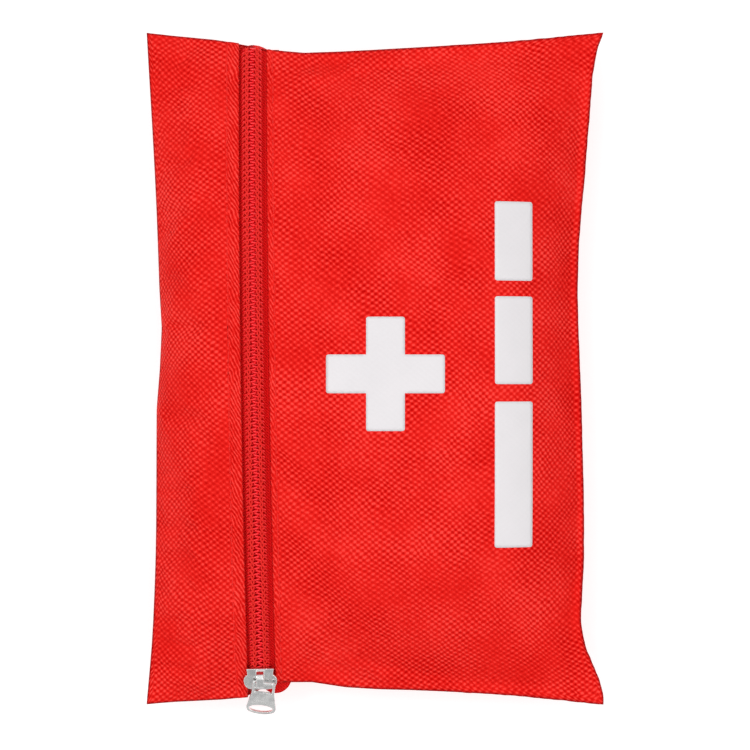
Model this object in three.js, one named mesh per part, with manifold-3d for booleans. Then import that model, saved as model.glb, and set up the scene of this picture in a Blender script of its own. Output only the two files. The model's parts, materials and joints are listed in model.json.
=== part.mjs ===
// A soft first aid kit: a zipped pillow pouch of woven polyester, packed with dressings and tools.
// Units are millimetres. The pouch lies on its back: +Z up through the front, +Y towards the end
// where the open zip stops, +X away from the zip. The origin is the middle of the resting face.
import * as THREE from 'three';
import { mergeVertices } from 'three/addons/utils/BufferGeometryUtils.js';
import Module from 'manifold-3d';

const wasm = await Module();
wasm.setup();

// ---------------------------------------------------------------- driving dimensions
const GAP = 0.3; // clearance between pieces that touch
const POUCH_WIDTH = 136;
const POUCH_HEIGHT = 200;
const FABRIC = 0.9; // cloth with its lining and seam allowance
const SEAM_Z = 14; // height of the seam that joins front and back
const FRONT_CROWN = 23; // rise of the front above the seam
const BASE_FULLNESS = 1.6; // how soon the back reaches the flat it rests on

const ZIP_X = -35.3; // the zip's centre line, half way up
const ZIP_LEAN = THREE.MathUtils.degToRad(0.8); // its top leans to the left
const ZIP_CROWN = 19; // rise of the zip above the seam
const ZIP_HALF_LENGTH = 95.5;
const ZIP_HALO = [5, 26]; // the cloth follows the zip inside the first distance, and not past the second
const CHANNEL = { left: -4.4, right: 5.1 }; // from the centre line to each folded hem
const TAPE_HALF = 11.5;
const TAPE_THICKNESS = 0.6;
const TAPE_TOP = -0.6; // below the underside of the cloth
const COIL_HALF = 2.9;
const COIL_BOTTOM = TAPE_TOP + GAP;
const COIL_HEIGHT = 1.8;
const COIL_ENDS = [-91, 93]; // the chain starts behind the closed slider's wedge
const TAPE_END = 91.2;

const SLIDER_ALONG = -91.1; // closed slider
const SLIDER_LENGTH = 6.8;
const SLIDER_REAR_HALF = 4.1; // half widths from the rear to the nose
const SLIDER_WAIST_HALF = 3.85;
const SLIDER_SHOULDER_HALF = 4.95;
const SLIDER_NOSE_HALF = 1.7;
const SLIDER_WEDGE_HALF = 1.7; // parts the two coils at the slider's nose
const SLIDER_LIP = 0.9; // how far the side flanges reach down beside the chain
const PLATE = 1;
const BRIDGE_WIDTH = 2.2;
const BRIDGE_FRONT = -2.1;
const BRIDGE_REAR = 2.9;
const BRIDGE_WALL = 0.5;
const BRIDGE_RISE = 1.5; // above the pull tab's pivot
const TAB_PIVOT = [1.15, -0.75, 3.45]; // from the middle of the chain under the slider
const TAB_LENGTH = 10.3;
const TAB_WIDTH = 8.8;
const TAB_THICKNESS = 1.1;
const TAB_RING_HALF = 3.4; // the ring round the bridge
const TAB_RING_DEPTH = 3;
const TAB_ARM = 0.8; // width of the ring's arms
const TAB_BAR_RADIUS = 0.5;
const TAB_DROOP = THREE.MathUtils.degToRad(3);
const TAB_YAW = THREE.MathUtils.degToRad(-8); // the loose tab hangs askew

const PRINT_THICKNESS = 0.3;
const CROSS_CENTRE = [3.05, -1.6];
const CROSS_SIZE = [34.6, 33.3];
const CROSS_ARM = 11.3;
const BAR_X = [35, 46.2]; // the printed label column, from its left to its right side
const BARS_Y = [[-52.5, -9.7], [-4.6, 21.1], [25.7, 48.9]];
const STITCH = { left: -7.4, right: 6.2 }; // from the zip's centre line
const STITCH_WIDTH = 0.5;

const FLOOR_Z = FABRIC + 0.9; // the lowest level for the contents
const PACK_GAP = 0.4;

// The outline pulls in between its corners. Each side lists [share of the side, inset].
const LEFT_INSET = [
  [0, 0], [0.12, 1.9], [0.26, 2.8], [0.47, 3], [0.53, 4.8], [0.59, 4], [0.66, 3.5], [0.75, 2.8], [1, 0],
];
const RIGHT_INSET = [
  [0, 0], [0.016, 0.2], [0.065, 3.6], [0.112, 6.9], [0.24, 5.9], [0.42, 6.5], [0.63, 7.8], [0.8, 5.5],
  [0.9, 3.9], [0.95, 2.9], [0.985, 1.2], [1, 0],
];
const TOP_INSET = [
  [0, 0], [0.06, 0.9], [0.165, 2.4], [0.2, 3.2], [0.33, 6.1], [0.4, 5.8], [0.53, 4.9], [0.8, 2.6], [1, 0],
];
const BOTTOM_INSET = [
  [0, 0], [0.06, 0.7], [0.15, 1.3], [0.225, 2.3], [0.29, 6.7], [0.37, 6.7], [0.41, 5.7], [0.46, 4.8],
  [0.6, 4.2], [0.82, 2.5], [1, 0],
];

// ---------------------------------------------------------------- materials
const finish = (color, roughness, metalness = 0) =>
  new THREE.MeshStandardMaterial({ color, roughness, metalness });
const RED_CLOTH = finish(0xe3122d, 0.85);
const RED_ZIP = finish(0xc50f28, 0.7);
const RED_THREAD = finish(0xb80d24, 0.8);
const WHITE_PRINT = finish(0xeeeeec, 0.6);
const NICKEL = finish(0xb9bab8, 0.25, 1);
const STEEL = finish(0xc4c6c8, 0.3, 1);
const GAUZE = finish(0xf2efe6, 0.95);
const CREPE = finish(0xe2c9a6, 0.95);
const TAPE_WHITE = finish(0xf4f3ee, 0.7);
const SPOOL_PLASTIC = finish(0xdfe4ea, 0.5);
const PAPER = finish(0xf3f4f2, 0.8);
const BLUE_PAPER = finish(0x9cc3dd, 0.75);
const FOIL = finish(0xc9a94a, 0.3, 0.8);
const HANDLE_PLASTIC = finish(0x23262b, 0.5);

const kit = new THREE.Group();
const smooth = THREE.MathUtils.smoothstep;
const lerp = THREE.MathUtils.lerp;

// ---------------------------------------------------------------- general helpers
function addMesh(name, geometry, material, parent = kit) {
  const mesh = new THREE.Mesh(geometry, material);
  mesh.name = name;
  parent.add(mesh);
  return mesh;
}

// A smooth curve through [place, value] pairs, with no overshoot between them.
function profile(points) {
  const slope = points.map((point, i) => {
    if (i === 0 || i === points.length - 1) {
      const [a, b] = i === 0 ? [points[0], points[1]] : [points[i - 1], points[i]];
      return (b[1] - a[1]) / (b[0] - a[0]);
    }
    const before = (point[1] - points[i - 1][1]) / (point[0] - points[i - 1][0]);
    const after = (points[i + 1][1] - point[1]) / (points[i + 1][0] - point[0]);
    return before * after <= 0 ? 0 : (2 * before * after) / (before + after);
  });
  return (place) => {
    const i = Math.min(points.length - 2, Math.max(0, points.findIndex((p) => p[0] > place) - 1));
    const last = place >= points[points.length - 1][0];
    const k = last ? points.length - 2 : i;
    const width = points[k + 1][0] - points[k][0];
    const u = (place - points[k][0]) / width;
    const a = (1 + 2 * u) * (1 - u) ** 2 * points[k][1] + u * (1 - u) ** 2 * width * slope[k];
    return a + u * u * (3 - 2 * u) * points[k + 1][1] + u * u * (u - 1) * width * slope[k + 1];
  };
}

// A closed sheet between an upper and a lower surface, each a function of two shares from 0 to 1.
function sheet(columns, rows, upper, lower) {
  const points = [];
  const index = [];
  const width = columns + 1;
  const size = width * (rows + 1);
  for (const surface of [upper, lower]) {
    for (let j = 0; j <= rows; j += 1) {
      for (let i = 0; i <= columns; i += 1) points.push(...surface(i / columns, j / rows));
    }
  }
  const quad = (a, b, c, d) => index.push(a, b, c, a, c, d);
  for (let j = 0; j < rows; j += 1) {
    for (let i = 0; i < columns; i += 1) {
      const a = j * width + i;
      quad(a, a + 1, a + 1 + width, a + width);
      quad(size + a, size + a + width, size + a + 1 + width, size + a + 1);
    }
  }
  const wall = (from, to) => quad(from, size + from, size + to, to);
  for (let i = 0; i < columns; i += 1) {
    wall(i, i + 1);
    wall(rows * width + i + 1, rows * width + i);
  }
  for (let j = 0; j < rows; j += 1) {
    wall((j + 1) * width, j * width);
    wall(j * width + columns, (j + 1) * width + columns);
  }
  const geometry = new THREE.BufferGeometry();
  geometry.setAttribute('position', new THREE.Float32BufferAttribute(points, 3));
  geometry.setIndex(index);
  geometry.computeVertexNormals();
  return geometry;
}

function toSolid(geometry) {
  const bare = geometry.clone();
  for (const name of ['normal', 'uv']) bare.deleteAttribute(name);
  const merged = mergeVertices(bare, 1e-4);
  return new wasm.Manifold(new wasm.Mesh({
    numProp: 3,
    vertProperties: new Float32Array(merged.attributes.position.array),
    triVerts: new Uint32Array(merged.index.array),
  }));
}

function toGeometry(solid) {
  const mesh = solid.getMesh();
  const geometry = new THREE.BufferGeometry();
  geometry.setAttribute('position', new THREE.BufferAttribute(mesh.vertProperties, 3));
  geometry.setIndex(new THREE.BufferAttribute(mesh.triVerts, 1));
  geometry.computeVertexNormals();
  return geometry;
}

// A flat plate from an outline in x and y, from z = low to z = high.
function plate(shape, low, high, curveSegments = 12) {
  const geometry = new THREE.ExtrudeGeometry(shape, {
    depth: high - low,
    bevelEnabled: false,
    curveSegments,
  });
  return geometry.translate(0, 0, low);
}

// A plate from an outline drawn in y and z, from x = -half to x = half.
function crossPlate(shape, half) {
  const [x, y, z] = [0, 1, 2].map((axis) => new THREE.Vector3().setComponent(axis, 1));
  return plate(shape, -half, half, 8).applyMatrix4(new THREE.Matrix4().makeBasis(y, z, x));
}

function outline(points) {
  return new THREE.Shape(points.map(([x, y]) => new THREE.Vector2(x, y)));
}

function ellipse(x, y, rx, ry) {
  return new THREE.Shape().absellipse(x, y, rx, ry, 0, Math.PI * 2, false, 0);
}

function roundedRect(width, height, radius) {
  const [x, y] = [width / 2, height / 2];
  const shape = new THREE.Shape();
  shape.moveTo(-x + radius, -y);
  shape.lineTo(x - radius, -y);
  shape.absarc(x - radius, -y + radius, radius, -Math.PI / 2, 0, false);
  shape.absarc(x - radius, y - radius, radius, 0, Math.PI / 2, false);
  shape.absarc(-x + radius, y - radius, radius, Math.PI / 2, Math.PI, false);
  shape.absarc(-x + radius, -y + radius, radius, Math.PI, Math.PI * 1.5, false);
  return shape;
}

// ---------------------------------------------------------------- the pouch's shape
const leftInset = profile(LEFT_INSET);
const rightInset = profile(RIGHT_INSET);
const topInset = profile(TOP_INSET);
const bottomInset = profile(BOTTOM_INSET);

const leftX = (t) => -POUCH_WIDTH / 2 + leftInset(t);
const rightX = (t) => POUCH_WIDTH / 2 - rightInset(t);
const bottomY = (s) => -POUCH_HEIGHT / 2 + bottomInset(s);
const topY = (s) => POUCH_HEIGHT / 2 - topInset(s);

// The share s across and t along the pouch at a place.
function locate(x, y) {
  let [s, t] = [0.5, 0.5];
  for (let step = 0; step < 8; step += 1) {
    s = THREE.MathUtils.clamp((x - leftX(t)) / (rightX(t) - leftX(t)), 0, 1);
    t = THREE.MathUtils.clamp((y - bottomY(s)) / (topY(s) - bottomY(s)), 0, 1);
  }
  return [s, t];
}

// The pillow's fall towards each seam: the higher the power, the fuller its shoulders.
const CROWN_POWER_X = 4;
const CROWN_POWER_Y = 3.2;
const BACK_POWER_Y = 4;
const crownX = (s) => 1 - Math.abs(2 * s - 1) ** CROWN_POWER_X;
const crownY = (t, power) => 1 - Math.abs(2 * t - 1) ** power;

// The zip lies on an arc about an axis across the pouch, far below it. Its own coordinates are the
// distance across from its centre line and the distance along it.
const ZIP_RADIUS = (ZIP_HALF_LENGTH ** 2 + ZIP_CROWN ** 2) / (2 * ZIP_CROWN);
const ZIP_AXIS_Z = SEAM_Z + ZIP_CROWN - ZIP_RADIUS;
const [LEAN_COS, LEAN_SIN] = [Math.cos(ZIP_LEAN), Math.sin(ZIP_LEAN)];
const toZip = (x, y) => [(x - ZIP_X) * LEAN_COS + y * LEAN_SIN, y * LEAN_COS - (x - ZIP_X) * LEAN_SIN];
const fromZip = (across, along) => [
  ZIP_X + across * LEAN_COS - along * LEAN_SIN,
  across * LEAN_SIN + along * LEAN_COS,
];
const zipRise = (along) => Math.max(0, Math.sqrt(ZIP_RADIUS ** 2 - along ** 2) + ZIP_AXIS_Z - SEAM_Z);

// How far the front's inner face stands above the seam.
function frontRise(s, t, x, y) {
  const pillow = FRONT_CROWN * crownX(s) * crownY(t, CROWN_POWER_Y);
  const [across, along] = toZip(x, y);
  const halo = 1 - smooth(Math.abs(across), ...ZIP_HALO);
  return lerp(pillow, zipRise(along), halo);
}

function frontZ(x, y) {
  return SEAM_Z + GAP / 2 + frontRise(...locate(x, y), x, y);
}

// The height of the back's outer face, which is flat in the middle.
function backZ(s, t) {
  const fullness = Math.min(1, BASE_FULLNESS * crownX(s) * crownY(t, BACK_POWER_Y));
  return (SEAM_Z - GAP / 2 - FABRIC) * (1 - fullness) ** 2;
}

// A place on the outline's grid, where s comes from x so that hems run straight beside the zip.
function frontPoint(x, t, lift) {
  const s = THREE.MathUtils.clamp((x - leftX(t)) / (rightX(t) - leftX(t)), 0, 1);
  const y = lerp(bottomY(s), topY(s), t);
  return [x, y, SEAM_Z + GAP / 2 + frontRise(s, t, x, y) + lift];
}

// Shares bunched towards both ends, where the pillow turns down to its seam.
const bunched = (share) => 0.5 - 0.5 * Math.cos(Math.PI * share);
const bunchedEnd = (share) => Math.sin((Math.PI / 2) * share);

const PANEL_ROWS = 26;
const STRIP_COLUMNS = 6;
const FRONT_COLUMNS = 15;
const BACK_COLUMNS = 26;

function addPanels() {
  const zipShare = (ZIP_X - leftX(0.5)) / (rightX(0.5) - leftX(0.5));
  const hemX = (edge, t) => fromZip(edge, lerp(bottomY(zipShare), topY(zipShare), t))[0];
  const strip = (lift) => (i, j) => {
    const t = bunched(j);
    return frontPoint(lerp(leftX(t), hemX(CHANNEL.left, t), 1 - bunchedEnd(1 - i)), t, lift);
  };
  const panel = (lift) => (i, j) => {
    const t = bunched(j);
    return frontPoint(lerp(hemX(CHANNEL.right, t), rightX(t), bunchedEnd(i)), t, lift);
  };
  const back = (lift) => (i, j) => {
    const [s, t] = [bunched(i), bunched(j)];
    return [lerp(leftX(t), rightX(t), s), lerp(bottomY(s), topY(s), t), backZ(s, t) + lift];
  };
  addMesh('front_strip', sheet(STRIP_COLUMNS, PANEL_ROWS, strip(FABRIC), strip(0)), RED_CLOTH);
  addMesh('front_panel', sheet(FRONT_COLUMNS, PANEL_ROWS, panel(FABRIC), panel(0)), RED_CLOTH);
  addMesh('back_panel', sheet(BACK_COLUMNS, PANEL_ROWS, back(FABRIC), back(0)), RED_CLOTH);
}

// ---------------------------------------------------------------- zip
// A strip along the zip between two distances across it, at two heights above the cloth's underside.
const ZIP_ROWS = 20;

function zipStrip([near, far], [from, to], [bottom, top], columns = 1) {
  const [low, high] = near < far ? [near, far] : [far, near];
  const at = (lift) => (i, j) => {
    const [x, y] = fromZip(lerp(low, high, i), lerp(from, to, j));
    return [x, y, frontZ(x, y) + lift];
  };
  return sheet(columns, ZIP_ROWS, at(top), at(bottom));
}

function addZip() {
  const tapeEnds = [-TAPE_END, TAPE_END];
  const tapeHeights = [TAPE_TOP - TAPE_THICKNESS, TAPE_TOP];
  const coilHeights = [COIL_BOTTOM, COIL_BOTTOM + COIL_HEIGHT];
  const stitchHeights = [FABRIC + GAP, FABRIC + 2 * GAP];
  for (const [side, sign] of [['left', -1], ['right', 1]]) {
    const tape = zipStrip([sign * GAP / 2, sign * TAPE_HALF], tapeEnds, tapeHeights, 2);
    const coil = zipStrip([sign * GAP / 2, sign * COIL_HALF], COIL_ENDS, coilHeights);
    const seam = [STITCH[side] - STITCH_WIDTH / 2, STITCH[side] + STITCH_WIDTH / 2];
    addMesh(`zip_tape_${side}`, tape, RED_ZIP);
    addMesh(`zip_coil_${side}`, coil, RED_ZIP);
    addMesh(`hem_stitch_${side}`, zipStrip(seam, tapeEnds, stitchHeights), RED_THREAD);
  }
}

// The slider, in its own frame: y along the zip towards the closed chain, z out of the pouch, and the
// origin in the middle of the chain. Its plates have square rear corners, a waist and round shoulders.
function sliderOutline() {
  const [nose, rear] = [-SLIDER_LENGTH / 2, SLIDER_LENGTH / 2];
  const [waistY, shoulderY] = [rear - 2, nose + 3];
  const shape = new THREE.Shape();
  shape.moveTo(-SLIDER_REAR_HALF, rear);
  shape.quadraticCurveTo(-SLIDER_WAIST_HALF, rear - 1, -SLIDER_WAIST_HALF, waistY);
  shape.quadraticCurveTo(-SLIDER_SHOULDER_HALF, waistY - 0.6, -SLIDER_SHOULDER_HALF, shoulderY);
  shape.quadraticCurveTo(-SLIDER_SHOULDER_HALF, nose, -SLIDER_NOSE_HALF, nose);
  shape.lineTo(SLIDER_NOSE_HALF, nose);
  shape.quadraticCurveTo(SLIDER_SHOULDER_HALF, nose, SLIDER_SHOULDER_HALF, shoulderY);
  shape.quadraticCurveTo(SLIDER_SHOULDER_HALF, waistY - 0.6, SLIDER_WAIST_HALF, waistY);
  shape.quadraticCurveTo(SLIDER_WAIST_HALF, rear - 1, SLIDER_REAR_HALF, rear);
  return shape;
}

const CHAIN_HALF_HEIGHT = COIL_HEIGHT / 2;
const TOP_PLATE_Z = CHAIN_HALF_HEIGHT + GAP;
const BOTTOM_PLATE_Z = -CHAIN_HALF_HEIGHT - GAP - TAPE_THICKNESS - GAP;

function sliderGeometry() {
  const top = toSolid(plate(sliderOutline(), TOP_PLATE_Z, TOP_PLATE_Z + PLATE));
  const bottom = toSolid(plate(sliderOutline(), BOTTOM_PLATE_Z - PLATE, BOTTOM_PLATE_Z));
  const nose = -SLIDER_LENGTH / 2;
  const [wedgeTip, wedgeWide, wedgeFront] = [nose + 2.6, nose + 1.4, nose + 0.3];
  const wedge = outline([
    [0, wedgeTip], [-SLIDER_WEDGE_HALF, wedgeWide], [-SLIDER_WEDGE_HALF / 2, wedgeFront],
    [SLIDER_WEDGE_HALF / 2, wedgeFront], [SLIDER_WEDGE_HALF, wedgeWide],
  ]);
  const [wedgeLow, wedgeHigh] = [BOTTOM_PLATE_Z - PLATE / 2, TOP_PLATE_Z + PLATE / 2];
  let body = top.add(bottom).add(toSolid(plate(wedge, wedgeLow, wedgeHigh)));
  const flangeInner = COIL_HALF + GAP;
  const flangeTop = TOP_PLATE_Z + PLATE / 2;
  for (const sign of [-1, 1]) {
    const flange = new THREE.BoxGeometry(
      SLIDER_WAIST_HALF - flangeInner, SLIDER_LENGTH / 2, flangeTop + SLIDER_LIP,
    );
    const x = (sign * (SLIDER_WAIST_HALF + flangeInner)) / 2;
    flange.translate(x, SLIDER_LENGTH / 4 - SLIDER_LIP, (flangeTop - SLIDER_LIP) / 2);
    body = body.add(toSolid(flange));
  }
  return toGeometry(body.add(bridgeSolid()));
}

// The bridge that holds the pull tab: an arch along the slider, drawn in y and z.
function bridgeSolid() {
  const base = TOP_PLATE_Z + PLATE / 2;
  const pivotZ = TAB_PIVOT[2];
  const crown = pivotZ + BRIDGE_RISE;
  const arch = new THREE.Shape();
  arch.moveTo(BRIDGE_FRONT, base);
  arch.lineTo(BRIDGE_REAR, base);
  arch.quadraticCurveTo(BRIDGE_REAR, crown, BRIDGE_REAR / 3, crown);
  arch.lineTo(BRIDGE_FRONT / 2, crown);
  arch.quadraticCurveTo(BRIDGE_FRONT, crown, BRIDGE_FRONT, base);
  const hole = new THREE.Path();
  const [near, far] = [BRIDGE_FRONT + BRIDGE_WALL, BRIDGE_REAR - 3 * BRIDGE_WALL];
  const [reach, height] = [(far - near) / 2, BRIDGE_RISE - BRIDGE_WALL];
  hole.absellipse((near + far) / 2, pivotZ, reach, height, 0, Math.PI * 2, false, 0);
  arch.holes.push(hole);
  return toSolid(crossPlate(arch, BRIDGE_WIDTH / 2));
}

// The pull tab, pivoting at the origin and pointing along -y: a bar through the bridge, two arms
// beside it that close a ring, and a fan-shaped plate with a slot.
function tabGeometry() {
  const [ring, wide, foot] = [TAB_RING_HALF, TAB_WIDTH / 2, -TAB_LENGTH];
  const inner = ring - TAB_ARM;
  const [corner, slotY] = [foot + 2.4, foot + 1.9];
  const fan = new THREE.Shape();
  fan.moveTo(-ring, TAB_BAR_RADIUS);
  fan.lineTo(-ring, -TAB_RING_DEPTH);
  fan.quadraticCurveTo(-ring - 0.2, -TAB_RING_DEPTH - 1.6, -wide, corner);
  fan.quadraticCurveTo(-wide - 0.1, foot + 0.8, -wide + 1.4, foot + 0.5);
  fan.quadraticCurveTo(0, foot - 0.5, wide - 1.4, foot + 0.5);
  fan.quadraticCurveTo(wide + 0.1, foot + 0.8, wide, corner);
  fan.quadraticCurveTo(ring + 0.2, -TAB_RING_DEPTH - 1.6, ring, -TAB_RING_DEPTH);
  fan.lineTo(ring, TAB_BAR_RADIUS);
  fan.lineTo(inner, TAB_BAR_RADIUS);
  fan.lineTo(inner, -TAB_RING_DEPTH);
  fan.lineTo(-inner, -TAB_RING_DEPTH);
  fan.lineTo(-inner, TAB_BAR_RADIUS);
  const slot = new THREE.Path();
  slot.absellipse(0, slotY, wide - TAB_ARM, 1.15, 0, Math.PI * 2, false, 0);
  fan.holes.push(slot);
  const solid = toSolid(plate(fan, -TAB_THICKNESS / 2, TAB_THICKNESS / 2));
  const bar = new THREE.CylinderGeometry(TAB_BAR_RADIUS, TAB_BAR_RADIUS, ring + inner, 12);
  return toGeometry(solid.add(toSolid(bar.rotateZ(Math.PI / 2))));
}

function addSlider() {
  const chainLift = GAP / 2 + COIL_BOTTOM + CHAIN_HALF_HEIGHT;
  const zip = new THREE.Group();
  zip.position.set(ZIP_X, 0, ZIP_AXIS_Z);
  zip.rotation.z = ZIP_LEAN;
  kit.add(zip);
  const slider = new THREE.Group();
  slider.rotation.x = Math.asin(-SLIDER_ALONG / ZIP_RADIUS);
  zip.add(slider);
  const onChain = new THREE.Group();
  onChain.position.set(0, 0, ZIP_RADIUS + chainLift);
  slider.add(onChain);
  addMesh('slider_body', sliderGeometry(), NICKEL, onChain);
  const tab = addMesh('pull_tab', tabGeometry(), NICKEL, onChain);
  tab.position.set(...TAB_PIVOT);
  tab.rotation.set(TAB_DROOP, 0, TAB_YAW, 'ZYX');
}

// ---------------------------------------------------------------- print on the front
function printStrip(x0, x1, y0, y1, columns, rows) {
  const at = (lift) => (i, j) => {
    const [x, y] = [lerp(x0, x1, i), lerp(y0, y1, j)];
    return [x, y, frontZ(x, y) + lift];
  };
  const bottom = FABRIC + GAP;
  return sheet(columns, rows, at(bottom + PRINT_THICKNESS), at(bottom));
}

function addPrint() {
  const [x, y] = CROSS_CENTRE;
  const [reachX, reachY] = CROSS_SIZE.map((size) => size / 2);
  const half = CROSS_ARM / 2;
  const upright = toSolid(printStrip(x - half, x + half, y - reachY, y + reachY, 2, 6));
  const beam = toSolid(printStrip(x - reachX, x + reachX, y - half, y + half, 6, 2));
  addMesh('cross_print', toGeometry(upright.add(beam)), WHITE_PRINT);
  BARS_Y.forEach(([low, high], i) => {
    addMesh(`label_bar_${i + 1}`, printStrip(...BAR_X, low, high, 3, 6), WHITE_PRINT);
  });
}

// ---------------------------------------------------------------- contents
// A soft packet: a rounded rectangle, crowned by a bevel, resting on z = low.
function packet(name, [x, y], [width, length, height], low, material, corner = 4) {
  const bevel = Math.min(height / 2 - 0.05, 1.4);
  const shape = roundedRect(width - 2 * bevel, length - 2 * bevel, corner);
  const geometry = new THREE.ExtrudeGeometry(shape, {
    depth: height - 2 * bevel,
    bevelThickness: bevel,
    bevelSize: bevel,
    bevelSegments: 1,
    curveSegments: 2,
  });
  geometry.translate(x, y, low + bevel);
  addMesh(name, geometry, material);
  return low + height + PACK_GAP;
}

// A roll with softened ends, its axis along y.
function roll(radius, length) {
  const soft = 1.2;
  const half = length / 2;
  const side = [
    [0, -half], [radius - soft, -half], [radius - soft * 0.3, -half + soft * 0.3], [radius, -half + soft],
    [radius, half - soft], [radius - soft * 0.3, half - soft * 0.3], [radius - soft, half], [0, half],
  ];
  return new THREE.LatheGeometry(side.map(([r, y]) => new THREE.Vector2(r, y)), 22);
}

function ring(inner, outer, low, high, segments = 28) {
  const side = [[inner, low], [outer, low], [outer, high], [inner, high], [inner, low]];
  const points = side.map(([r, y]) => new THREE.Vector2(r, y));
  return new THREE.LatheGeometry(points, segments).rotateX(Math.PI / 2);
}

const STACK_X = 15; // middle of the stack of flat packs
const ROLL_X = -30;
const GAUZE_RADIUS = 10;
const GAUZE_LENGTH = 48;
const CREPE_RADIUS = 11;
const TOOL_Z = 22.6; // underside of the layer that holds the scissors

function addDressings() {
  let level = packet('triangular_bandage_pack', [STACK_X, 0], [60, 92, 7], FLOOR_Z, PAPER);
  level = packet('foil_blanket_pack', [STACK_X, 0], [56, 84, 6], level, FOIL);
  for (let i = 0; i < 3; i += 1) {
    packet(`sterile_pad_${i + 1}`, [STACK_X - 1 + i, -20], [50, 48, 1.7], level + i * 2, PAPER, 2);
    packet(`alcohol_wipe_${i + 1}`, [STACK_X + 1 - i, 26], [46, 34, 1.7], level + i * 2, BLUE_PAPER, 2);
  }
  for (const [name, y] of [['gauze_roll_1', -25.5], ['gauze_roll_2', 25.5]]) {
    addMesh(name, roll(GAUZE_RADIUS, GAUZE_LENGTH), GAUZE).position.set(ROLL_X, y, FLOOR_Z + GAUZE_RADIUS);
  }
  const crepe = addMesh('crepe_bandage_roll', roll(CREPE_RADIUS, 66).rotateZ(Math.PI / 2), CREPE);
  crepe.position.set(10, 62, FLOOR_Z + 0.4 + CREPE_RADIUS);
}

function addTapeRoll() {
  const place = [-12, -66, FLOOR_Z + 1.4];
  const [bore, core, outer, width] = [9.5, 11, 15, 12.5];
  const wound = ring(core + GAP, outer, GAP, width - GAP);
  addMesh('tape_spool', ring(bore, core, 0, width), SPOOL_PLASTIC).position.set(...place);
  addMesh('adhesive_tape_roll', wound, TAPE_WHITE).position.set(...place);
}

function addPlasters() {
  for (let i = 0; i < 4; i += 1) {
    packet(`plaster_${i + 1}`, [28, -65 + i * 0.4], [44, 19, 0.9], FLOOR_Z + 3 + i * 1.3, PAPER, 1.5);
  }
}

// Scissors, pivot at the origin, blades along +y and finger loops along -y.
const SCISSOR_PIVOT = [0, 6, TOOL_Z + 2];
const BLADE_LENGTH = 36;
const SHANK_LENGTH = 16;
const BLADE_THICKNESS = 1.2;
const RIVET_RADIUS = 1.2;
const LOOP_OFFSET = 10.6;
const LOOP_Y = -36;
const LOOP_RADII = [9.8, 12];
const LOOP_BAND = 3.2;
const HANDLE_THICKNESS = 4;

// One blade with its shank; side is the sign of x on which its handle lies.
function bladeGeometry(side, low) {
  const shape = outline([
    [-side * 3.4, 0], [-side * 3.2, 10], [-side * 0.9, BLADE_LENGTH - 1.2], [-side * 0.2, BLADE_LENGTH],
    [side * 0.6, BLADE_LENGTH - 0.8], [side * 1.2, 12], [side * 3.4, 2], [side * 4.2, -5],
    [side * 7.4, -SHANK_LENGTH], [side * 3.6, -SHANK_LENGTH], [-side * 0.2, -6], [-side * 2.6, -3],
  ]);
  const bore = RIVET_RADIUS + GAP;
  shape.holes.push(new THREE.Path().absellipse(0, 0, bore, bore, 0, Math.PI * 2, false, 0));
  return plate(shape, low, low + BLADE_THICKNESS, 8);
}

// The moulded handle: an arm that sleeves the shank, and a finger loop.
function handleGeometry(side, bladeLow) {
  const half = HANDLE_THICKNESS / 2;
  const [rx, ry] = LOOP_RADII;
  const arm = outline([[side * 3, -11], [side * 8.6, -11], [side * 12, -27], [side * 4.4, -27]]);
  const loop = ellipse(side * LOOP_OFFSET, LOOP_Y, rx, ry);
  const hole = ellipse(side * LOOP_OFFSET, LOOP_Y, rx - LOOP_BAND, ry - LOOP_BAND);
  const shankSlot = new THREE.BoxGeometry(6.4, SHANK_LENGTH + 2, BLADE_THICKNESS + 2 * GAP);
  shankSlot.rotateZ(side * 0.32).translate(side * 3.9, -9, bladeLow + BLADE_THICKNESS / 2);
  return toGeometry(
    toSolid(plate(arm, -half, half))
      .add(toSolid(plate(loop, -half, half)))
      .subtract(toSolid(plate(hole, -HANDLE_THICKNESS, HANDLE_THICKNESS)))
      .subtract(toSolid(shankSlot)),
  );
}

function rivetGeometry() {
  const [head, top, reach] = [2.5, HANDLE_THICKNESS / 2 + 0.2, BLADE_THICKNESS + GAP * 1.5];
  const side = [
    [0, -top], [head - 0.6, -top], [head, -reach - 0.1], [head, -reach], [RIVET_RADIUS, -reach],
    [RIVET_RADIUS, reach], [head, reach], [head, reach + 0.1], [head - 0.6, top], [0, top],
  ];
  return new THREE.LatheGeometry(side.map(([r, y]) => new THREE.Vector2(r, y)), 20).rotateX(Math.PI / 2);
}

function addScissors() {
  const scissors = new THREE.Group();
  scissors.position.set(...SCISSOR_PIVOT);
  kit.add(scissors);
  const levels = { fixed: [-1, -BLADE_THICKNESS - GAP / 2], moving: [1, GAP / 2] };
  for (const [name, [side, low]] of Object.entries(levels)) {
    const blade = toGeometry(toSolid(bladeGeometry(side, low)));
    addMesh(`scissors_blade_${name}`, blade, STEEL, scissors);
    addMesh(`scissors_handle_${name}`, handleGeometry(side, low), HANDLE_PLASTIC, scissors);
  }
  addMesh('scissors_rivet', rivetGeometry(), STEEL, scissors);
}

// Tweezers, joined end at the origin and tips along -y: two bowed arms standing on edge.
const TWEEZERS_PLACE = [-7, 44, TOOL_Z + 6.8];
const ARM_LENGTH = 80;
const ARM_SPLAY = 3.6;
const ARM_BOW = 1.4;
const ARM_THICKNESS = 0.9;
const ARM_HALF_WIDTH = 2.6;
const TIP_HALF_WIDTH = 1;
const TAPER_Y = -45; // where an arm starts to narrow

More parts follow.
